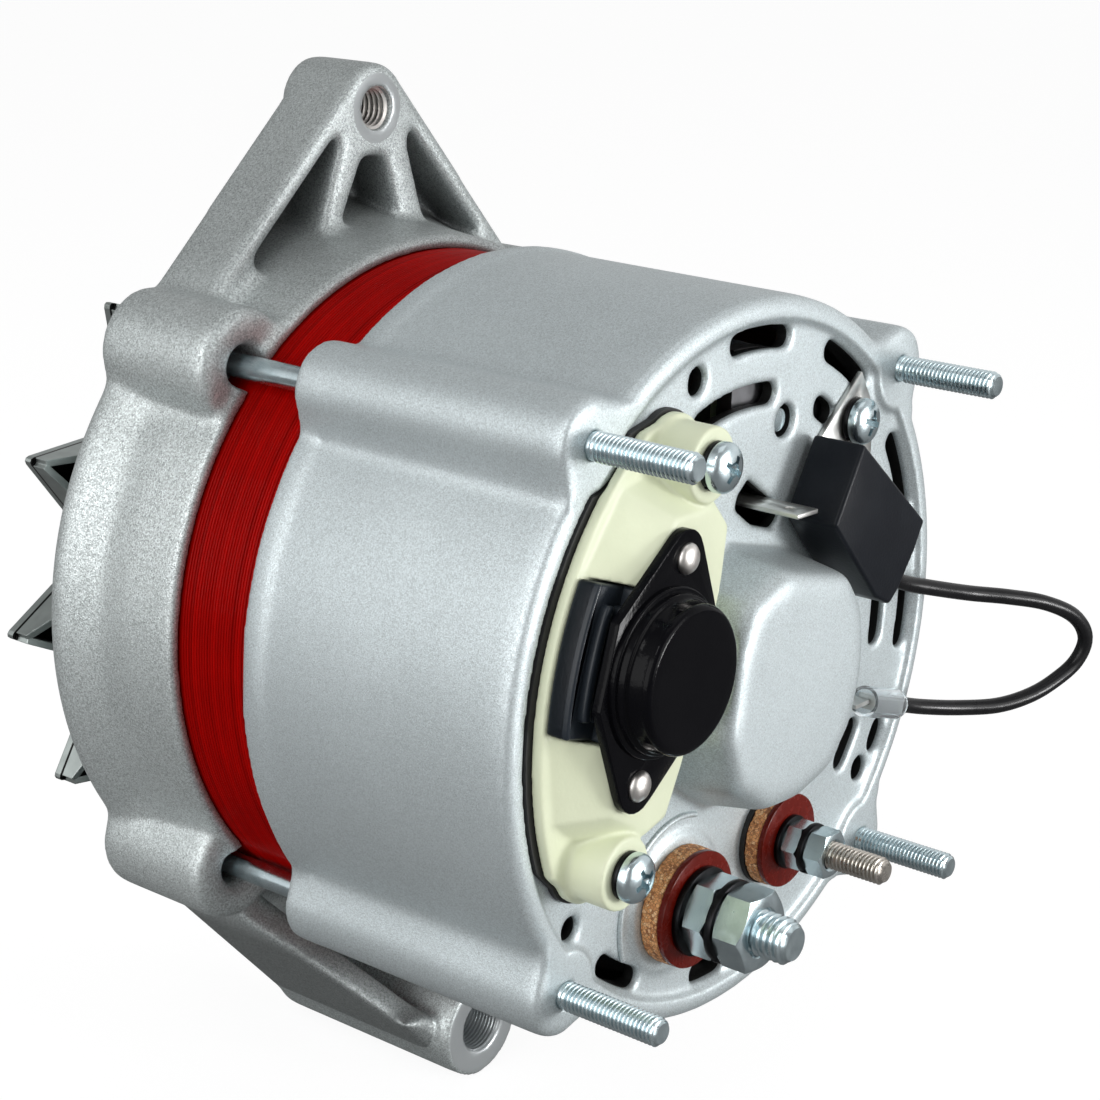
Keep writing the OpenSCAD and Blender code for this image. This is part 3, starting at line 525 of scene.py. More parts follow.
def rear_keep(x, y, z):
    """Soft on the barrel, its bosses and the tower, crisp at the wall's slots, seats and rim."""
    wall = y.above(-0.6 * mm) * y.below(8 * mm) * near(x, z, (0, 0), 62.2) * 0.98
    tight = wall.most(near(x, z, (0, 0), 18.2) * y.above(-9.9 * mm))
    for centre in bolt_places:
        tight = tight.most(near(x, z, centre, 3.2))
    tight = tight.most(y.above(50.8 * mm) * 0.93)
    lip = y.below(1.6 * mm) * (x * x + z * z).above((59.8 * mm) ** 2) * near(x, z, (0, 0), 64.7)
    return 1 - tight.most(lip * 0.95) * 0.99


rear = eased("rear_housing", 0.5 * mm, 30, rear_keep, blasted)
fitted(rear, "housing", "cast_rear", "rear_housing")


# Seat edge
# A thin raised line in the casting of the rear wall, round the upper left of the battery stud's seat.
b_at, d_at = (-15, -40), (14, -36)
seat_r = 15.6
bend = [math.radians(72 + 4 * k) for k in range(34)]
seat_path = [Vector((b_at[0] + seat_r * math.cos(a), 1.1, b_at[1] + seat_r * math.sin(a))) * mm for a in bend]
line = tube("seat_edge_line", seat_path, 0.55 * mm, 3, blasted)
mesh = bpy.data.meshes.new_from_object(line)
bpy.data.objects.remove(line)
mesh.shade_smooth()
fitted(linked("seat_edge", mesh), "housing", "cast_rear")


# Stator
# Thin steel sheets stacked between the housings and dipped in deep red varnish, so that each sheet's
# edge still shows as a fine line round the machine. The slots hold copper bars for three phases.
varnish, place = material("red_varnish")
run = grain(place, 9 * mm, 3.0)
x, y, z = separate(place)
sheet = place.node("ShaderNodeTexNoise", {"Vector": vector(place, y=y), "Scale": 700.0})
red = (run * 0.5 + sheet * 1.6 - 0.55).held()
coat(varnish, place, red.mix((0.19, 0.0006, 0.0003), (0.42, 0.0016, 0.0008)), 0.30 + run * 0.15,
     height=grain(place, 1.2 * mm), depth=0.03 * mm, **{"Specular IOR Level": 0.025, "Coat Weight": 0.05})
dress(varnish, "stator_core")
ends = geometry_tree("stator_sheets", Sheets=27, Radius=62.36 * mm, Thickness=0.637 * mm, Uneven=0.0007)
path = ends["Sheets"].node("GeometryNodeCurvePrimitiveCircle", {0: 200, 4: ends["Radius"]})
profile = path.node("GeometryNodeCurvePrimitiveCircle", {0: 6, 4: ends["Thickness"] * 0.48})
sheet_ring = path.node("GeometryNodeCurveToMesh", {0: path, 1: profile})
step = vector(path, z=ends["Thickness"])
stack = path.node("GeometryNodeMeshLine", {0: ends["Sheets"], 3: step})
loose = path.node("FunctionNodeRandomValue", {2: 1 - ends["Uneven"], 3: 1 + ends["Uneven"], 8: 4}, out=1)
sheets = path.node("GeometryNodeInstanceOnPoints", {0: stack, 2: sheet_ring, 6: loose})
sheets = path.node(
    "GeometryNodeTransform", {0: sheets, 1: (0, 57.32 * mm, 0), 2: (-math.pi / 2, 0, 0)})
stator_tree = close_tree(sheets, ends["Finish"])


def blank(name, shape=None):
    """A linked piece, empty or with a bmesh's shape."""
    mesh = bpy.data.meshes.new(name)
    if shape:
        shape.to_mesh(mesh)
        shape.free()
    return linked(name, mesh)


def dressed(piece, finish, sharp=40):
    """Faces outwards, smooth up to the sharp angle, with one finish."""
    shape = bmesh.new()
    shape.from_mesh(piece.data)
    bmesh.ops.recalc_face_normals(shape, faces=shape.faces)
    shape.to_mesh(piece.data)
    shape.free()
    piece.data.shade_smooth()
    piece.data.set_sharp_from_angle(angle=math.radians(sharp))
    piece.data.materials.clear()
    piece.data.materials.append(finish)
    return piece


sheets = dressed(run_tree(blank("stator_sheets"), stator_tree, varnish), varnish, 80)
fitted(sheets, "housing", "red_varnish")
copper, place = material("copper_wire")
strand = grain(place, 0.8 * mm)
coat(copper, place, strand.mix((0.22, 0.06, 0.02), (0.55, 0.20, 0.08)), 0.35, height=strand, depth=0.3 * mm)
dress(copper, "stator_winding", "field_coil")


# Through bolts
# Four long zinc-plated M5 bolts. The hex heads sit in the front housing, and the threads cross the rear
# bosses and stand out behind them.
def plated(name, dark, light, rough, edge=0.0):
    """A plated or bare metal with faint clouds and fine scratches in it."""
    made, place = material(name)
    cloud = grain(place, 2.2 * mm, 3.0)
    return coat(made, place, cloud.mix(dark, light), rough + cloud * 0.16, 1.0, height=grain(place, 0.7 * mm),
                depth=0.015 * mm, edge=edge)


zinc = plated("zinc_steel", (0.50, 0.60, 0.64), (0.76, 0.87, 0.90), 0.16)


def point(shape, centre, radius, angle, y):
    """A new corner of shape at that radius and angle round centre (mm)."""
    return shape.verts.new(
        Vector((centre[0] + radius * math.cos(angle), y, centre[1] + radius * math.sin(angle))) * mm)


def hex_reach(flats, angle):
    """How far a hexagon across those flats reaches at an angle."""
    return flats / 2 / math.cos((angle % (math.pi / 3)) - math.pi / 6)


def spin(shape, profile, sides=48, closed=False, centre=(0, 0)):
    """Turns a profile of (radius, y) in mm round the Y axis through centre."""
    rows = [[point(shape, centre, r, 2 * math.pi * k / sides, y) for r, y in profile] for k in range(sides)]
    loop = len(profile) if closed else len(profile) - 1
    for one, two in zip(rows, rows[1:] + rows[:1]):
        for i in range(loop):
            j = (i + 1) % len(profile)
            shape.faces.new((one[i], one[j], two[j], two[i]))
    bmesh.ops.remove_doubles(shape, verts=shape.verts, dist=1e-7)


def hexagon(shape, flats, y0, y1, chamfer, centre=(0, 0)):
    """A hexagon bar along Y whose end at y1 has its corners turned off."""
    rows = []
    side = flats / math.sqrt(3)
    for y, reach in ((y0, side), (y1 - math.copysign(chamfer, y1 - y0), side), (y1, side - chamfer * 1.2)):
        rows.append([
            point(shape, centre, min(hex_reach(flats, a), reach), a, y)
            for a in (math.pi * k / 12 for k in range(24))])
    for one, two in zip(rows, rows[1:]):
        for k in range(24):
            shape.faces.new((one[k], one[(k + 1) % 24], two[(k + 1) % 24], two[k]))
    shape.faces.new(rows[0])
    shape.faces.new(rows[-1])


ends = geometry_tree("helical_thread", Radius=2.5 * mm, Depth=0.42 * mm, Pitch=0.8 * mm, Length=19.0 * mm,
                     Start=0.0)
radius, depth, pitch, length = (ends[k] for k in ("Radius", "Depth", "Pitch", "Length"))
turns = length / pitch
root = radius - depth
helix = turns.node("GeometryNodeCurveSpiral", {0: 24, 1: turns, 2: root, 3: root, 4: length})
helix = turns.node("GeometryNodeSetCurveNormal", {0: helix}, mode="Z_UP")
flank = turns.node(
    "GeometryNodeCurvePrimitiveQuadrilateral",
    {7: vector(turns, x=depth * 0.3, y=pitch * -0.46),
     8: vector(turns, x=depth * -1.0, y=pitch * -0.08),
     9: vector(turns, x=depth * -1.0, y=pitch * 0.08),
     10: vector(turns, x=depth * 0.3, y=pitch * 0.46)},
    mode="POINTS")
along = turns.node("GeometryNodeSplineParameter", {})
fade = (along.least(1 - along) * turns * 1.6).least(1.0)
ridge = turns.node("GeometryNodeCurveToMesh", {0: helix, 1: flank, 2: fade, 3: True})
upright = vector(turns, y=ends["Start"])
ridge = turns.node("GeometryNodeTransform", {0: ridge, 1: upright, 2: (-math.pi / 2, 0, 0)})
spread = turns.node("GeometryNodeInstanceOnPoints", {0: ends["Geometry"], 2: ridge})
thread_tree = close_tree(spread, ends["Finish"])


def dots(name, places):
    """A piece with a bare point at each (x, z) in mm, for a tree to build on."""
    piece = blank(name)
    piece.data.from_pydata([Vector((x, 0, z)) * mm for x, z in places], [], [])
    return piece


def take(shape, piece):
    """Moves a piece's mesh into shape."""
    shape.from_mesh(piece.data)
    bpy.data.objects.remove(piece)


def threaded(name, shape, places, finish, radius, depth, pitch, start, length):
    """Turned bodies in shape, with a helical thread at each place from start, length long (mm)."""
    piece = blank(name, shape)
    thread = dots(name + "_thread", places)
    run_tree(thread, thread_tree, finish, Radius=radius * mm, Depth=depth * mm, Pitch=pitch * mm,
             Start=start * mm, Length=length * mm)
    both = bmesh.new()
    both.from_mesh(piece.data)
    take(both, thread)
    both.to_mesh(piece.data)
    both.free()
    return dressed(piece, finish)


shape = bmesh.new()
for place in bolt_places:
    spin(shape, [(0, -19.7), (1.75, -19.7), (2.08, -19.3), (2.08, -1.2), (2.3, -0.8), (2.3, 47.6), (2.2, 48),
                 (2.2, 98.5), (0, 98.5)], 32, centre=place)
    hexagon(shape, 8, 98.2, 101.7, 0.5, place)
bolts = threaded("through_bolts_plated", shape, bolt_places, zinc, 2.5, 0.42, 0.8, -19.4, 19.2)
fitted(bolts, "housing", "zinc_steel", "through_bolts")


# Rectifier
# Two aluminium plates with press-in diodes and a small board behind the slotted wall. They show only
# through its openings.
# The plates' dark grey is painted shade, for their place in shadow behind the slotted wall.
shaded_plate_metal = plated("plate_aluminium", (0.12, 0.12, 0.125), (0.22, 0.22, 0.23), 0.4)
dress(shaded_plate_metal, "positive_plate", "negative_plate")
cup = plated("diode_metal", (0.38, 0.38, 0.38), (0.54, 0.54, 0.54), 0.3)
dress(cup, "diodes")
dress(zinc, "rectifier_screws", "retainer_screws")


# Terminal studs
# The M8 battery stud and the M5 lamp stud pass through bushes in the wall. Outside it each carries a cork
# ring, a red fibre washer, a flat washer, a nut, a spring washer and a second nut.
shape = bmesh.new()
spin(shape, [(0, -24), (2.9, -24), (3.38, -23.3), (3.38, 0.5), (4, 0.5), (4, 18), (0, 18)], 40, centre=b_at)
hexagon(shape, 13, 17, 22, 0.6, b_at)
b_stud = threaded("b_plus_stud_plated", shape, [b_at], zinc, 4.0, 0.66, 1.25, -23.4, 23.4)
fitted(b_stud, "housing", "zinc_steel", "b_plus_stud")
nickel = plated("stud_nickel", (0.46, 0.42, 0.38), (0.70, 0.66, 0.60), 0.2)
shape = bmesh.new()
spin(shape, [(0, -24), (1.75, -24), (2.08, -23.5), (2.08, 1.2), (2.5, 1.2), (2.5, 25), (0, 25)], 32,
     centre=d_at)
hexagon(shape, 8, 24.1, 27.5, 0.5, d_at)
d_stud = threaded("d_plus_stud_plated", shape, [d_at], nickel, 2.5, 0.42, 0.8, -23.6, 24.2)
fitted(d_stud, "housing", "stud_nickel", "d_plus_stud")


def nut_body(shape, flats, bore, y0, y1, centre):
    """A hex nut between y0 and y1, chamfered at both ends, its bore countersunk."""
    side = flats / math.sqrt(3)
    drop = side - flats / 2
    levels = [(y0, bore + 0.5, 0), (y0, side - drop, 0), (y0 + drop * 0.55, side, -0.55),
              (y1 - drop * 0.55, side, 0.55), (y1, side - drop, 0), (y1, bore + 0.5, 0),
              (y1 - 0.5, bore, 0), (y0 + 0.5, bore, 0)]
    rows = []
    for y, reach, lift in levels:
        row = []
        for k in range(48):
            a = 2 * math.pi * k / 48
            r = min(reach, hex_reach(flats, a))
            row.append(point(shape, centre, r, a, y + (side - r) * lift))
        rows.append(row)
    for one, two in zip(rows, rows[1:] + rows[:1]):
        for k in range(48):
            shape.faces.new((one[k], one[(k + 1) % 48], two[(k + 1) % 48], two[k]))


shape = bmesh.new()
nut_body(shape, 13, 4.0, -10.05, -5.45, b_at)
nut_body(shape, 13, 4.0, -17.45, -11.65, b_at)
b_nuts = dressed(blank("b_plus_nuts_plated", shape), zinc, 30)
fitted(b_nuts, "housing", "zinc_steel", "b_plus_nuts")
shape = bmesh.new()
nut_body(shape, 8, 2.5, -7.75, -4.45, d_at)
nut_body(shape, 8, 2.5, -12.95, -9.15, d_at)
d_nuts = dressed(blank("d_plus_nuts_plated", shape), zinc, 30)
fitted(d_nuts, "housing", "zinc_steel", "d_plus_nuts")


def washer(r, bore, y0, y1, ease):
    """The profile of a washer whose corners are eased."""
    e, f = ease, 0.3 * ease
    return [(bore, y0 + e), (bore + e, y0), (r - e, y0), (r - f, y0 + f), (r, y0 + e), (r, y1 - e),
            (r - f, y1 - f), (r - e, y1), (bore + e, y1), (bore, y1 - e)]


black_steel = plated("black_steel", (0.010, 0.010, 0.011), (0.03, 0.03, 0.032), 0.3)
shape = bmesh.new()
spin(shape, washer(8, 4, -5.45, -4.05, 0.3), 64, True, b_at)
spin(shape, washer(5, 2.5, -4.45, -3.45, 0.25), 48, True, d_at)
flats = dressed(blank("flat_washers_black", shape), black_steel)
fitted(flats, "housing", "black_steel", "flat_washers")
fibre, place = material("red_fibre")
paper = grain(place, 1.6 * mm, 4.0)
coat(fibre, place, paper.mix((0.08, 0.003, 0.001), (0.15, 0.008, 0.003)), 0.16 + paper * 0.2,
     height=grain(place, 0.35 * mm), depth=0.02 * mm, **{"Specular IOR Level": 0.2})
shape = bmesh.new()
spin(shape, washer(10.5, 4, -4.05, -2.85, 0.15), 96, True, b_at)
spin(shape, washer(8.7, 2.5, -3.45, -2.35, 0.15), 96, True, d_at)
reds = dressed(blank("fibre_washers_red", shape), fibre)
fitted(reds, "housing", "red_fibre", "fibre_washers")

ends = geometry_tree("spring_washer", Radius=4.1 * mm, Bore=2.1 * mm, Thickness=1.0 * mm, Gap=0.16,
                     Rise=0.2 * mm, Top=0.0)
radius, bore, thick, rise = (ends[k] for k in ("Radius", "Bore", "Thickness", "Rise"))
turn = radius.node("GeometryNodeCurveArc", {0: 48, 4: (radius + bore) * 0.5, 5: 2.2 + ends["Gap"],
                                            6: 2 * math.pi - ends["Gap"]}, mode="RADIUS")
along = radius.node("GeometryNodeSplineParameter", {})
lift = vector(radius, z=along * rise)
turn = radius.node("GeometryNodeSetPosition", {0: turn, 3: lift})
turn = radius.node("GeometryNodeSetCurveNormal", {0: turn}, mode="Z_UP")
bar = radius.node("GeometryNodeCurvePrimitiveQuadrilateral", {0: radius - bore, 1: thick - rise},
                  mode="RECTANGLE")
bar = radius.node("GeometryNodeFilletCurve", {0: bar, 1: 2, 2: thick * 0.22}, mode="POLY")
coil = radius.node("GeometryNodeCurveToMesh", {0: turn, 1: bar, 3: True})
seat = vector(radius, y=ends["Top"] + thick * 0.5 - rise * 0.5)
coil = radius.node("GeometryNodeTransform", {0: coil, 1: seat, 2: (-math.pi / 2, 0, 0)})
washer_tree = close_tree(
    radius.node("GeometryNodeInstanceOnPoints", {0: ends["Geometry"], 2: coil}), ends["Finish"])
holder_screws, cap_screw = [(-27.1, 41.84), (-44.4, -22.7)], (31, 39)
shape = bmesh.new()
for places, top, r, bore, thick in [
    (holder_screws, -10.3, 4.1, 2.1, 1.1), ([cap_screw], -0.85, 4.1, 2.1, 1.1),
    ([b_at], -11.65, 7.4, 4.05, 1.6), ([d_at], -9.15, 4.7, 2.55, 1.4),
]:
    take(shape, run_tree(dots("spring_washer", places), washer_tree, black_steel, Radius=r * mm,
                         Bore=bore * mm, Thickness=thick * mm, Top=top * mm, Rise=0.12 * mm))
locks = dressed(blank("spring_washers_black", shape), black_steel, 30)
fitted(locks, "housing", "black_steel", "lock_washers")

cork, place = material("cork")
crumbs = {"Vector": place, "Scale": 1900.0, "Randomness": 1.0}
tint = place.node("ShaderNodeSeparateXYZ", {0: place.node("ShaderNodeTexVoronoi", crumbs, out=1)})
seam = place.node("ShaderNodeTexVoronoi", crumbs, feature="DISTANCE_TO_EDGE")
shade = place.node(
    "ShaderNodeValToRGB", {0: tint},
    stops=[(0.0, (0.28, 0.10, 0.04)), (0.25, (0.70, 0.30, 0.11)), (0.75, (0.86, 0.44, 0.18)),
           (1.0, (0.95, 0.64, 0.36))])
coat(cork, place, (seam * 9).held().mix((0.28, 0.10, 0.04), shade), 0.7,
     height=seam + grain(place, 0.4 * mm) * 0.1, depth=0.2 * mm)
ends = geometry_tree("cork_ring", Radius=10.6 * mm, Bore=4.0 * mm, Thickness=3.4 * mm, Crumb=0.9 * mm,
                     Loss=0.35 * mm, Top=0.0)
radius, bore, thick, loss = (ends[k] for k in ("Radius", "Bore", "Thickness", "Loss"))
round_way = radius.node("GeometryNodeCurvePrimitiveCircle", {0: 150, 4: (radius + bore) * 0.5})
round_way = radius.node("GeometryNodeSetCurveNormal", {0: round_way}, mode="Z_UP")
cut = radius.node("GeometryNodeCurvePrimitiveQuadrilateral", {0: radius - bore, 1: thick}, mode="RECTANGLE")
cut = radius.node("GeometryNodeFilletCurve", {0: cut, 1: 2, 2: loss * 0.6}, mode="POLY")
cut = radius.node("GeometryNodeResampleCurve", {0: cut, 2: 44})
body = radius.node("GeometryNodeCurveToMesh", {0: round_way, 1: cut})
crumb = radius.node("ShaderNodeTexNoise", {"Scale": 1.0 / ends["Crumb"], "Detail": 2.0})
eaten = (crumb - 0.62).least(0.0) * loss * 1.6
normal = radius.node("GeometryNodeInputNormal", {})
dent = radius.node("ShaderNodeVectorMath", {0: normal, 3: eaten}, operation="SCALE")
body = radius.node("GeometryNodeSetPosition", {0: body, 3: dent})
seat = vector(radius, y=ends["Top"] + thick * 0.5)
body = radius.node("GeometryNodeTransform", {0: body, 1: seat, 2: (-math.pi / 2, 0, 0)})
cork_tree = close_tree(
    radius.node("GeometryNodeInstanceOnPoints", {0: ends["Geometry"], 2: body}), ends["Finish"])
shape = bmesh.new()
for place, top, r, bore, thick in [(b_at, -2.85, 10.6, 4, 3.4), (d_at, -2.35, 8.8, 2.5, 2.7)]:
    take(shape, run_tree(dots("cork_ring", [place]), cork_tree, cork, Radius=r * mm, Bore=bore * mm,
                         Thickness=thick * mm, Top=top * mm))
corks = dressed(blank("cork_rings_rough", shape), cork, 60)
fitted(corks, "housing", "cork", "cork_rings")


# Brush holder
# One cream moulding of glass-filled plastic, held by two screws through its lugs, with a rubber gasket
# under its flange.
def moulded(name, dark, light, rough, **fixed):
    """A moulded plastic with faint flow marks and a fine skin."""
    made, place = material(name)
    cloud = grain(place, 7 * mm, 3.0)
    return coat(made, place, cloud.mix(dark, light), rough + cloud * 0.12, height=grain(place, 0.6 * mm, 2.0),
                depth=0.03 * mm, **fixed)


cream = moulded("cream_plastic", (0.64, 0.68, 0.49), (0.74, 0.78, 0.58), 0.40)
dress(cream, "rectifier_spacers", "coil_bobbin")


def holder_keep(x, y, z):
    """All of the moulding is eased, hardly its screw holes and its part near the shaft."""
    tight = near(x, z, (0, 0), 30)
    for centre in holder_screws:
        tight = tight.most(near(x, z, centre, 3))
    return 1 - tight * 0.9


holder = eased("brush_holder", 0.34 * mm, 5, holder_keep, cream, 120000)
fitted(holder, "housing", "cream_plastic", "brush_holder")
rubber = moulded("black_rubber", (0.008, 0.008, 0.008), (0.016, 0.016, 0.016), 0.6)
dress(rubber, "holder_gasket", "d_gasket")


# Terminal block
# A black moulding let into the left of the holder, with two round ribs along it and a raised inner wall.
satin = moulded("black_plastic", (0.010, 0.014, 0.019), (0.020, 0.026, 0.034), 0.26,
                **{"Specular IOR Level": 0.28})
dress(satin, "diode_board", "stud_bushes", "ring_insulator")
lean = math.radians(15)


def in_holder(u, y, v):
    """A point of the holder's own frame, turned 15 degrees about the shaft, in metres."""
    return Vector((u * math.cos(lean) + v * math.sin(lean), y, v * math.cos(lean) - u * math.sin(lean))) * mm


def slab(shape, outline, y0, y1):
    """A block between y0 and y1 over an outline of (u, v) in the holder's frame."""
    low = [shape.verts.new(in_holder(u, y0, v)) for u, v in outline]
    high = [shape.verts.new(in_holder(u, y1, v)) for u, v in outline]
    shape.faces.new(low)
    shape.faces.new(high)
    for k in range(len(outline)):
        j = (k + 1) % len(outline)
        shape.faces.new((low[k], low[j], high[j], high[k]))


def round_edges(piece, width, segments=3, angle=35):
    """Rounds the edges of a plain piece."""
    soft = piece.modifiers.new("edges", "BEVEL")
    soft.width, soft.segments = width * mm, segments
    soft.limit_method, soft.angle_limit = "ANGLE", math.radians(angle)
    settle(piece)
    return piece


def arc_of(radius, v0, v1, count=12):
    """Points of an arc round the shaft, on the holder's side, from v0 to v1."""
    across = [v0 + (v1 - v0) * k / count for k in range(count + 1)]
    return [(-math.sqrt(radius ** 2 - v * v), v) for v in across]


shape = bmesh.new()
slab(shape, [*arc_of(58.1, 12.4, -12.4), (-46.3, -12.4), (-46.3, 12.4)], -2.15, -5.9)
slab(shape, [(-49.6, -12.4), (-46.3, -12.4), (-46.3, 12.4), (-49.6, 12.4)], -2.2, -7.7)
slab(shape, [*arc_of(58.1, 12.4, -12.4), *arc_of(57.0, -12.4, 12.4)], -2.2, -6.4)
for radius in (55.6, 52.3):
    slab(shape, [*arc_of(radius, 9.3, -9.3), *arc_of(radius - 1.9, -9.3, 9.3)], -2.2, -7.5)
block = dressed(blank("terminal_block_ribbed", shape), satin)
block = dressed(round_edges(block, 0.55), satin, 50)
fitted(block, "housing", "black_plastic", "terminal_block")


# Regulator
# A stepped gloss-black cap over the regulator on its diamond plate, held by two aluminium rivets.
gloss = moulded("gloss_black", (0.002, 0.002, 0.003), (0.004, 0.004, 0.005), 0.08,
                **{"Specular IOR Level": 0.07})


def flatten(piece):
    """Makes whole faces of a piece's flats."""
    shape = bmesh.new()
    shape.from_mesh(piece.data)
    bmesh.ops.remove_doubles(shape, verts=shape.verts, dist=2e-6)
    bmesh.ops.dissolve_limit(shape, angle_limit=math.radians(1.5), verts=shape.verts, edges=shape.edges)
    shape.to_mesh(piece.data)
    shape.free()


def flat_copy(name, width, finish, segments=3, angle=30):
    """A CAD node's copy, its flats made whole faces and its edges rounded."""
    piece = copy_of(name, "eased")
    flatten(piece)
    return dressed(round_edges(piece, width, segments, angle), finish, 50)


diamond = flat_copy("regulator_plate", 0.35, gloss)
fitted(diamond, "housing", "gloss_black", "regulator_plate")
cap_at = in_holder(-41, 0, 0) / mm
cap_centre = (cap_at.x, cap_at.z)


def corner(r, y, size, start, turn=90, steps=5):
    """Points of a rounded corner about (r, y)."""
    angles = [math.radians(start + turn * k / steps) for k in range(steps + 1)]
    return [(r + size * math.cos(a), y + size * math.sin(a)) for a in angles]


shape = bmesh.new()
spin(shape, [(0, -10.55), (14.1, -10.55), *corner(13.7, -11.2, 0.4, 0, -90), (13.3, -11.7),
             *corner(12.7, -12.4, 0.5, 0, -90), (12.35, -13.2), (12.3, -15.6),
             *corner(11.1, -15.7, 1.2, 0, -90), (9.5, -16.85), (0, -16.8)], 96, centre=cap_centre)
cap = dressed(blank("regulator_cap_gloss", shape), gloss, 60)
fitted(cap, "housing", "gloss_black", "regulator_cap")
rivet = plated("rivet_aluminium", (0.60, 0.57, 0.54), (0.82, 0.79, 0.76), 0.28)
shape = bmesh.new()
for s in (-1, 1):
    at = in_holder(-41, 0, 18.4 * s) / mm
    spin(shape, [(0, -5.2), (1.5, -5.2), (1.5, -10.4), (2.5, -10.5), (2.62, -10.8), (2.5, -11.2),
                 (2.1, -11.65), (1.5, -11.95), (0.8, -12.1), (0, -12.14)], 40, centre=(at.x, at.z))
rivets = dressed(blank("regulator_rivets_set", shape), rivet, 50)
fitted(rivets, "housing", "rivet_aluminium", "regulator_rivets")


# Cover screws
# Zinc-plated pan-head screws with a cross recess: two in the lugs of the holder, one through the tab of
# the capacitor.
def joined(*parts):
    """Several geometries as one."""
    whole = parts[0].node("GeometryNodeJoinGeometry", {})
    for part in parts:
        part.tree.links.new(part.socket, whole.socket.node.inputs[0])
    return whole


def cut_out(base, tools):
    """A geometry less its tools, which may cross each other."""
    return base.node("GeometryNodeMeshBoolean", {0: base, 1: tools, 2: True}, operation="DIFFERENCE",
                     solver="EXACT")


ends = geometry_tree("cross_recess", Reach=2.35 * mm, Width=0.95 * mm, Depth=1.7 * mm, X=0.0, Top=0.0, Z=0.0,
                     Turn=0.5)
reach, width, depth = (ends[k] for k in ("Reach", "Width", "Depth"))
arms = [reach.node("GeometryNodeMeshCube", {0: vector(reach, a, depth * 2, b)})
        for a, b in ((reach * 2, width), (width, reach * 2))]
arms.append(reach.node("GeometryNodeMeshIcoSphere", {0: width * 1.35, 1: 3}))
cross = reach.node("GeometryNodeTransform", {
    0: joined(*arms), 1: vector(reach, ends["X"], ends["Top"], ends["Z"]), 2: vector(reach, y=ends["Turn"])})
recess_tree = close_tree(cut_out(ends["Geometry"], cross), ends["Finish"])
shape = bmesh.new()
for (x, z), seat, grip, turn in [
    (holder_screws[0], -10.3, 17, 0.55), (holder_screws[1], -10.3, 17, 1.1), (cap_screw, -0.85, 8, 0.3),
]:
    head = bmesh.new()
    dome = [(4.0, 0), (4.2, 0.25), (4.2, 1.2), (4.08, 1.65), (3.75, 2.08), (3.2, 2.44), (2.4, 2.74),
            (1.5, 2.92), (0.7, 2.99), (0, 3.0)]
    spin(head, [(0, seat + grip), (1.95, seat + grip), (1.95, seat), *((r, seat - up) for r, up in dome)],
         64, centre=(x, z))
    screw = dressed(blank("pan_screw", head), zinc)
    take(shape, run_tree(screw, recess_tree, zinc, X=x * mm, Top=(seat - 3.0) * mm, Z=z * mm, Turn=turn))
screws = dressed(blank("cover_screws_plated", shape), zinc, 32)
fitted(screws, "housing", "zinc_steel", "cover_screws")


# Suppression capacitor
# A satin black moulded block with chamfered corners, held by a tinned steel tab under a screw of the wall.
soft_black = moulded("capacitor_black", (0.004, 0.005, 0.008), (0.008, 0.010, 0.014), 0.32,
                     **{"Specular IOR Level": 0.16})
block = flat_copy("capacitor_block", 0.7, soft_black)
fitted(block, "housing", "capacitor_black", "capacitor_block")
tab = flat_copy("capacitor_bracket", 0.2, tin, 2)
fitted(tab, "housing", "tin_plate", "capacitor_bracket")
spade = flat_copy("spade_terminal", 0.22, tin, 2)
fitted(spade, "housing", "tin_plate", "spade_terminal")


# Ear thread
# The adjusting ear is tapped M8 right through, and the turns of the thread show in its mouth.
ear_thread = run_tree(dots("ear_thread_turns", [ear_at]), thread_tree, rivet, Radius=3.48 * mm,
                      Depth=-0.62 * mm, Pitch=1.25 * mm, Start=88.3 * mm, Length=14.5 * mm)
fitted(dressed(ear_thread, rivet), "housing", "cast_front")


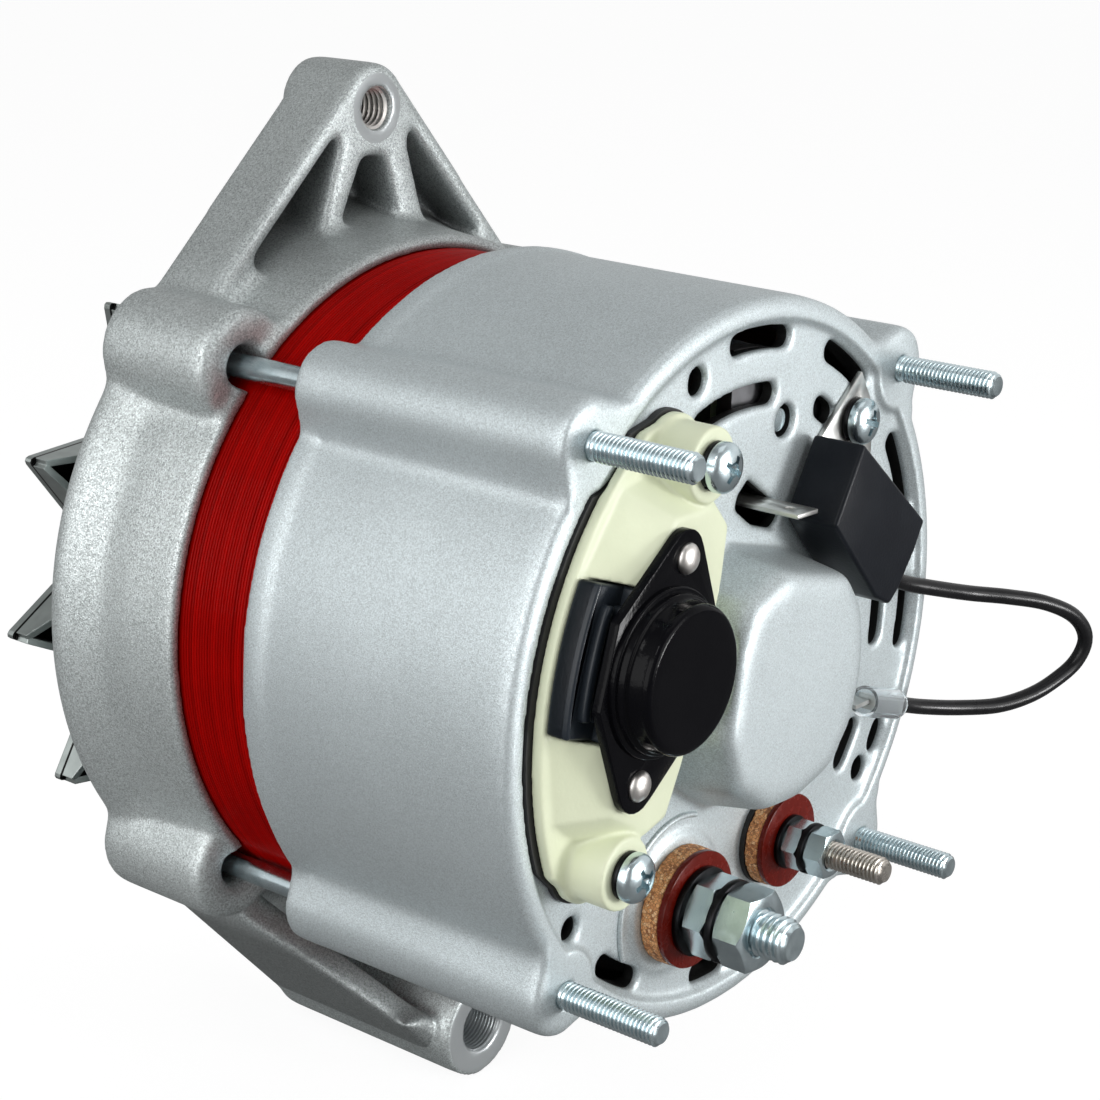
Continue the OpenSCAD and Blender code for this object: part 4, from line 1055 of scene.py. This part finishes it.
# Rotor
# A forged claw-pole rotor on its turned shaft, whose front end is threaded for the pulley's nut, with the
# field coil in a cream bobbin and two copper slip rings.
turned_steel = plated("plain_steel", (0.34, 0.34, 0.35), (0.50, 0.50, 0.51), 0.24)
dress(turned_steel, "bearing_retainer", "shaft_collar")
shape = bmesh.new()
spin(shape, [(0, -8.6), (6.7, -8.6), (7, -8.3), (7, 6.4), (7.5, 6.4), (7.5, 19.2), (9.6, 19.2), (9.6, 43.6),
             (9, 43.6), (9, 87.6), (10.6, 87.6), (10.6, 92.4), (8.5, 92.4), (8.5, 116), (8.1, 116.1),
             (8.1, 117), (8.5, 117.1), (8.5, 131.5), (8.1, 131.9), (7.1, 132.5), (7.1, 149), (6.5, 150),
             (0, 150)], 64)
shaft = threaded("shaft_turned", shape, [(0, 0)], turned_steel, 8, 0.9, 1.5, 132.3, 17.4)
fitted(shaft, "rotor", "plain_steel", "shaft")
forged = plated("forged_steel", (0.10, 0.10, 0.11), (0.22, 0.22, 0.23), 0.45)
dress(forged, "rear_claw_pole", "front_claw_pole", "pole_core")
ring = plated("ring_copper", (0.55, 0.27, 0.16), (0.76, 0.42, 0.26), 0.2)
dress(ring, "slip_rings")
carbon = moulded("carbon", (0.03, 0.03, 0.032), (0.06, 0.06, 0.064), 0.5)
dress(carbon, "brush_1", "brush_2")
spring = plated("spring_steel", (0.40, 0.40, 0.41), (0.58, 0.58, 0.59), 0.25)
dress(spring, "brush_spring_1", "brush_spring_2")
ground = plated("bearing_steel", (0.55, 0.56, 0.58), (0.72, 0.73, 0.75), 0.12)
dress(ground, "outer_races", "inner_races", "front_balls", "rear_balls")
brass = plated("cage_brass", (0.50, 0.36, 0.14), (0.72, 0.54, 0.24), 0.3)
dress(brass, "front_cage", "rear_cage")


# Fan
# A pressed steel star in front of the housing. The edges of its thirteen points are folded back towards
# the machine, one wall stepped and one deepening inwards, so that each is a scoop open to the rear.
fan_metal, place = material("fan_steel")
cloud = grain(place, 3 * mm, 3.0)
x, y, z = separate(place)
# Painted shade: a near-black band between y 112.6 and 113.15 mm, for the rear face of the disc in the shadow
# of the scoops.
painted_shade_band = y.below(113.15 * mm) * y.above(112.6 * mm)
steel = cloud.mix((0.36, 0.40, 0.39), (0.62, 0.68, 0.66))
coat(fan_metal, place, painted_shade_band.mix(steel, (0.02, 0.02, 0.02)), 0.24 + cloud * 0.14, 1.0,
     height=grain(place, 0.9 * mm), depth=0.015 * mm, edge=0.3 * mm)
dress(fan_metal, "fan")
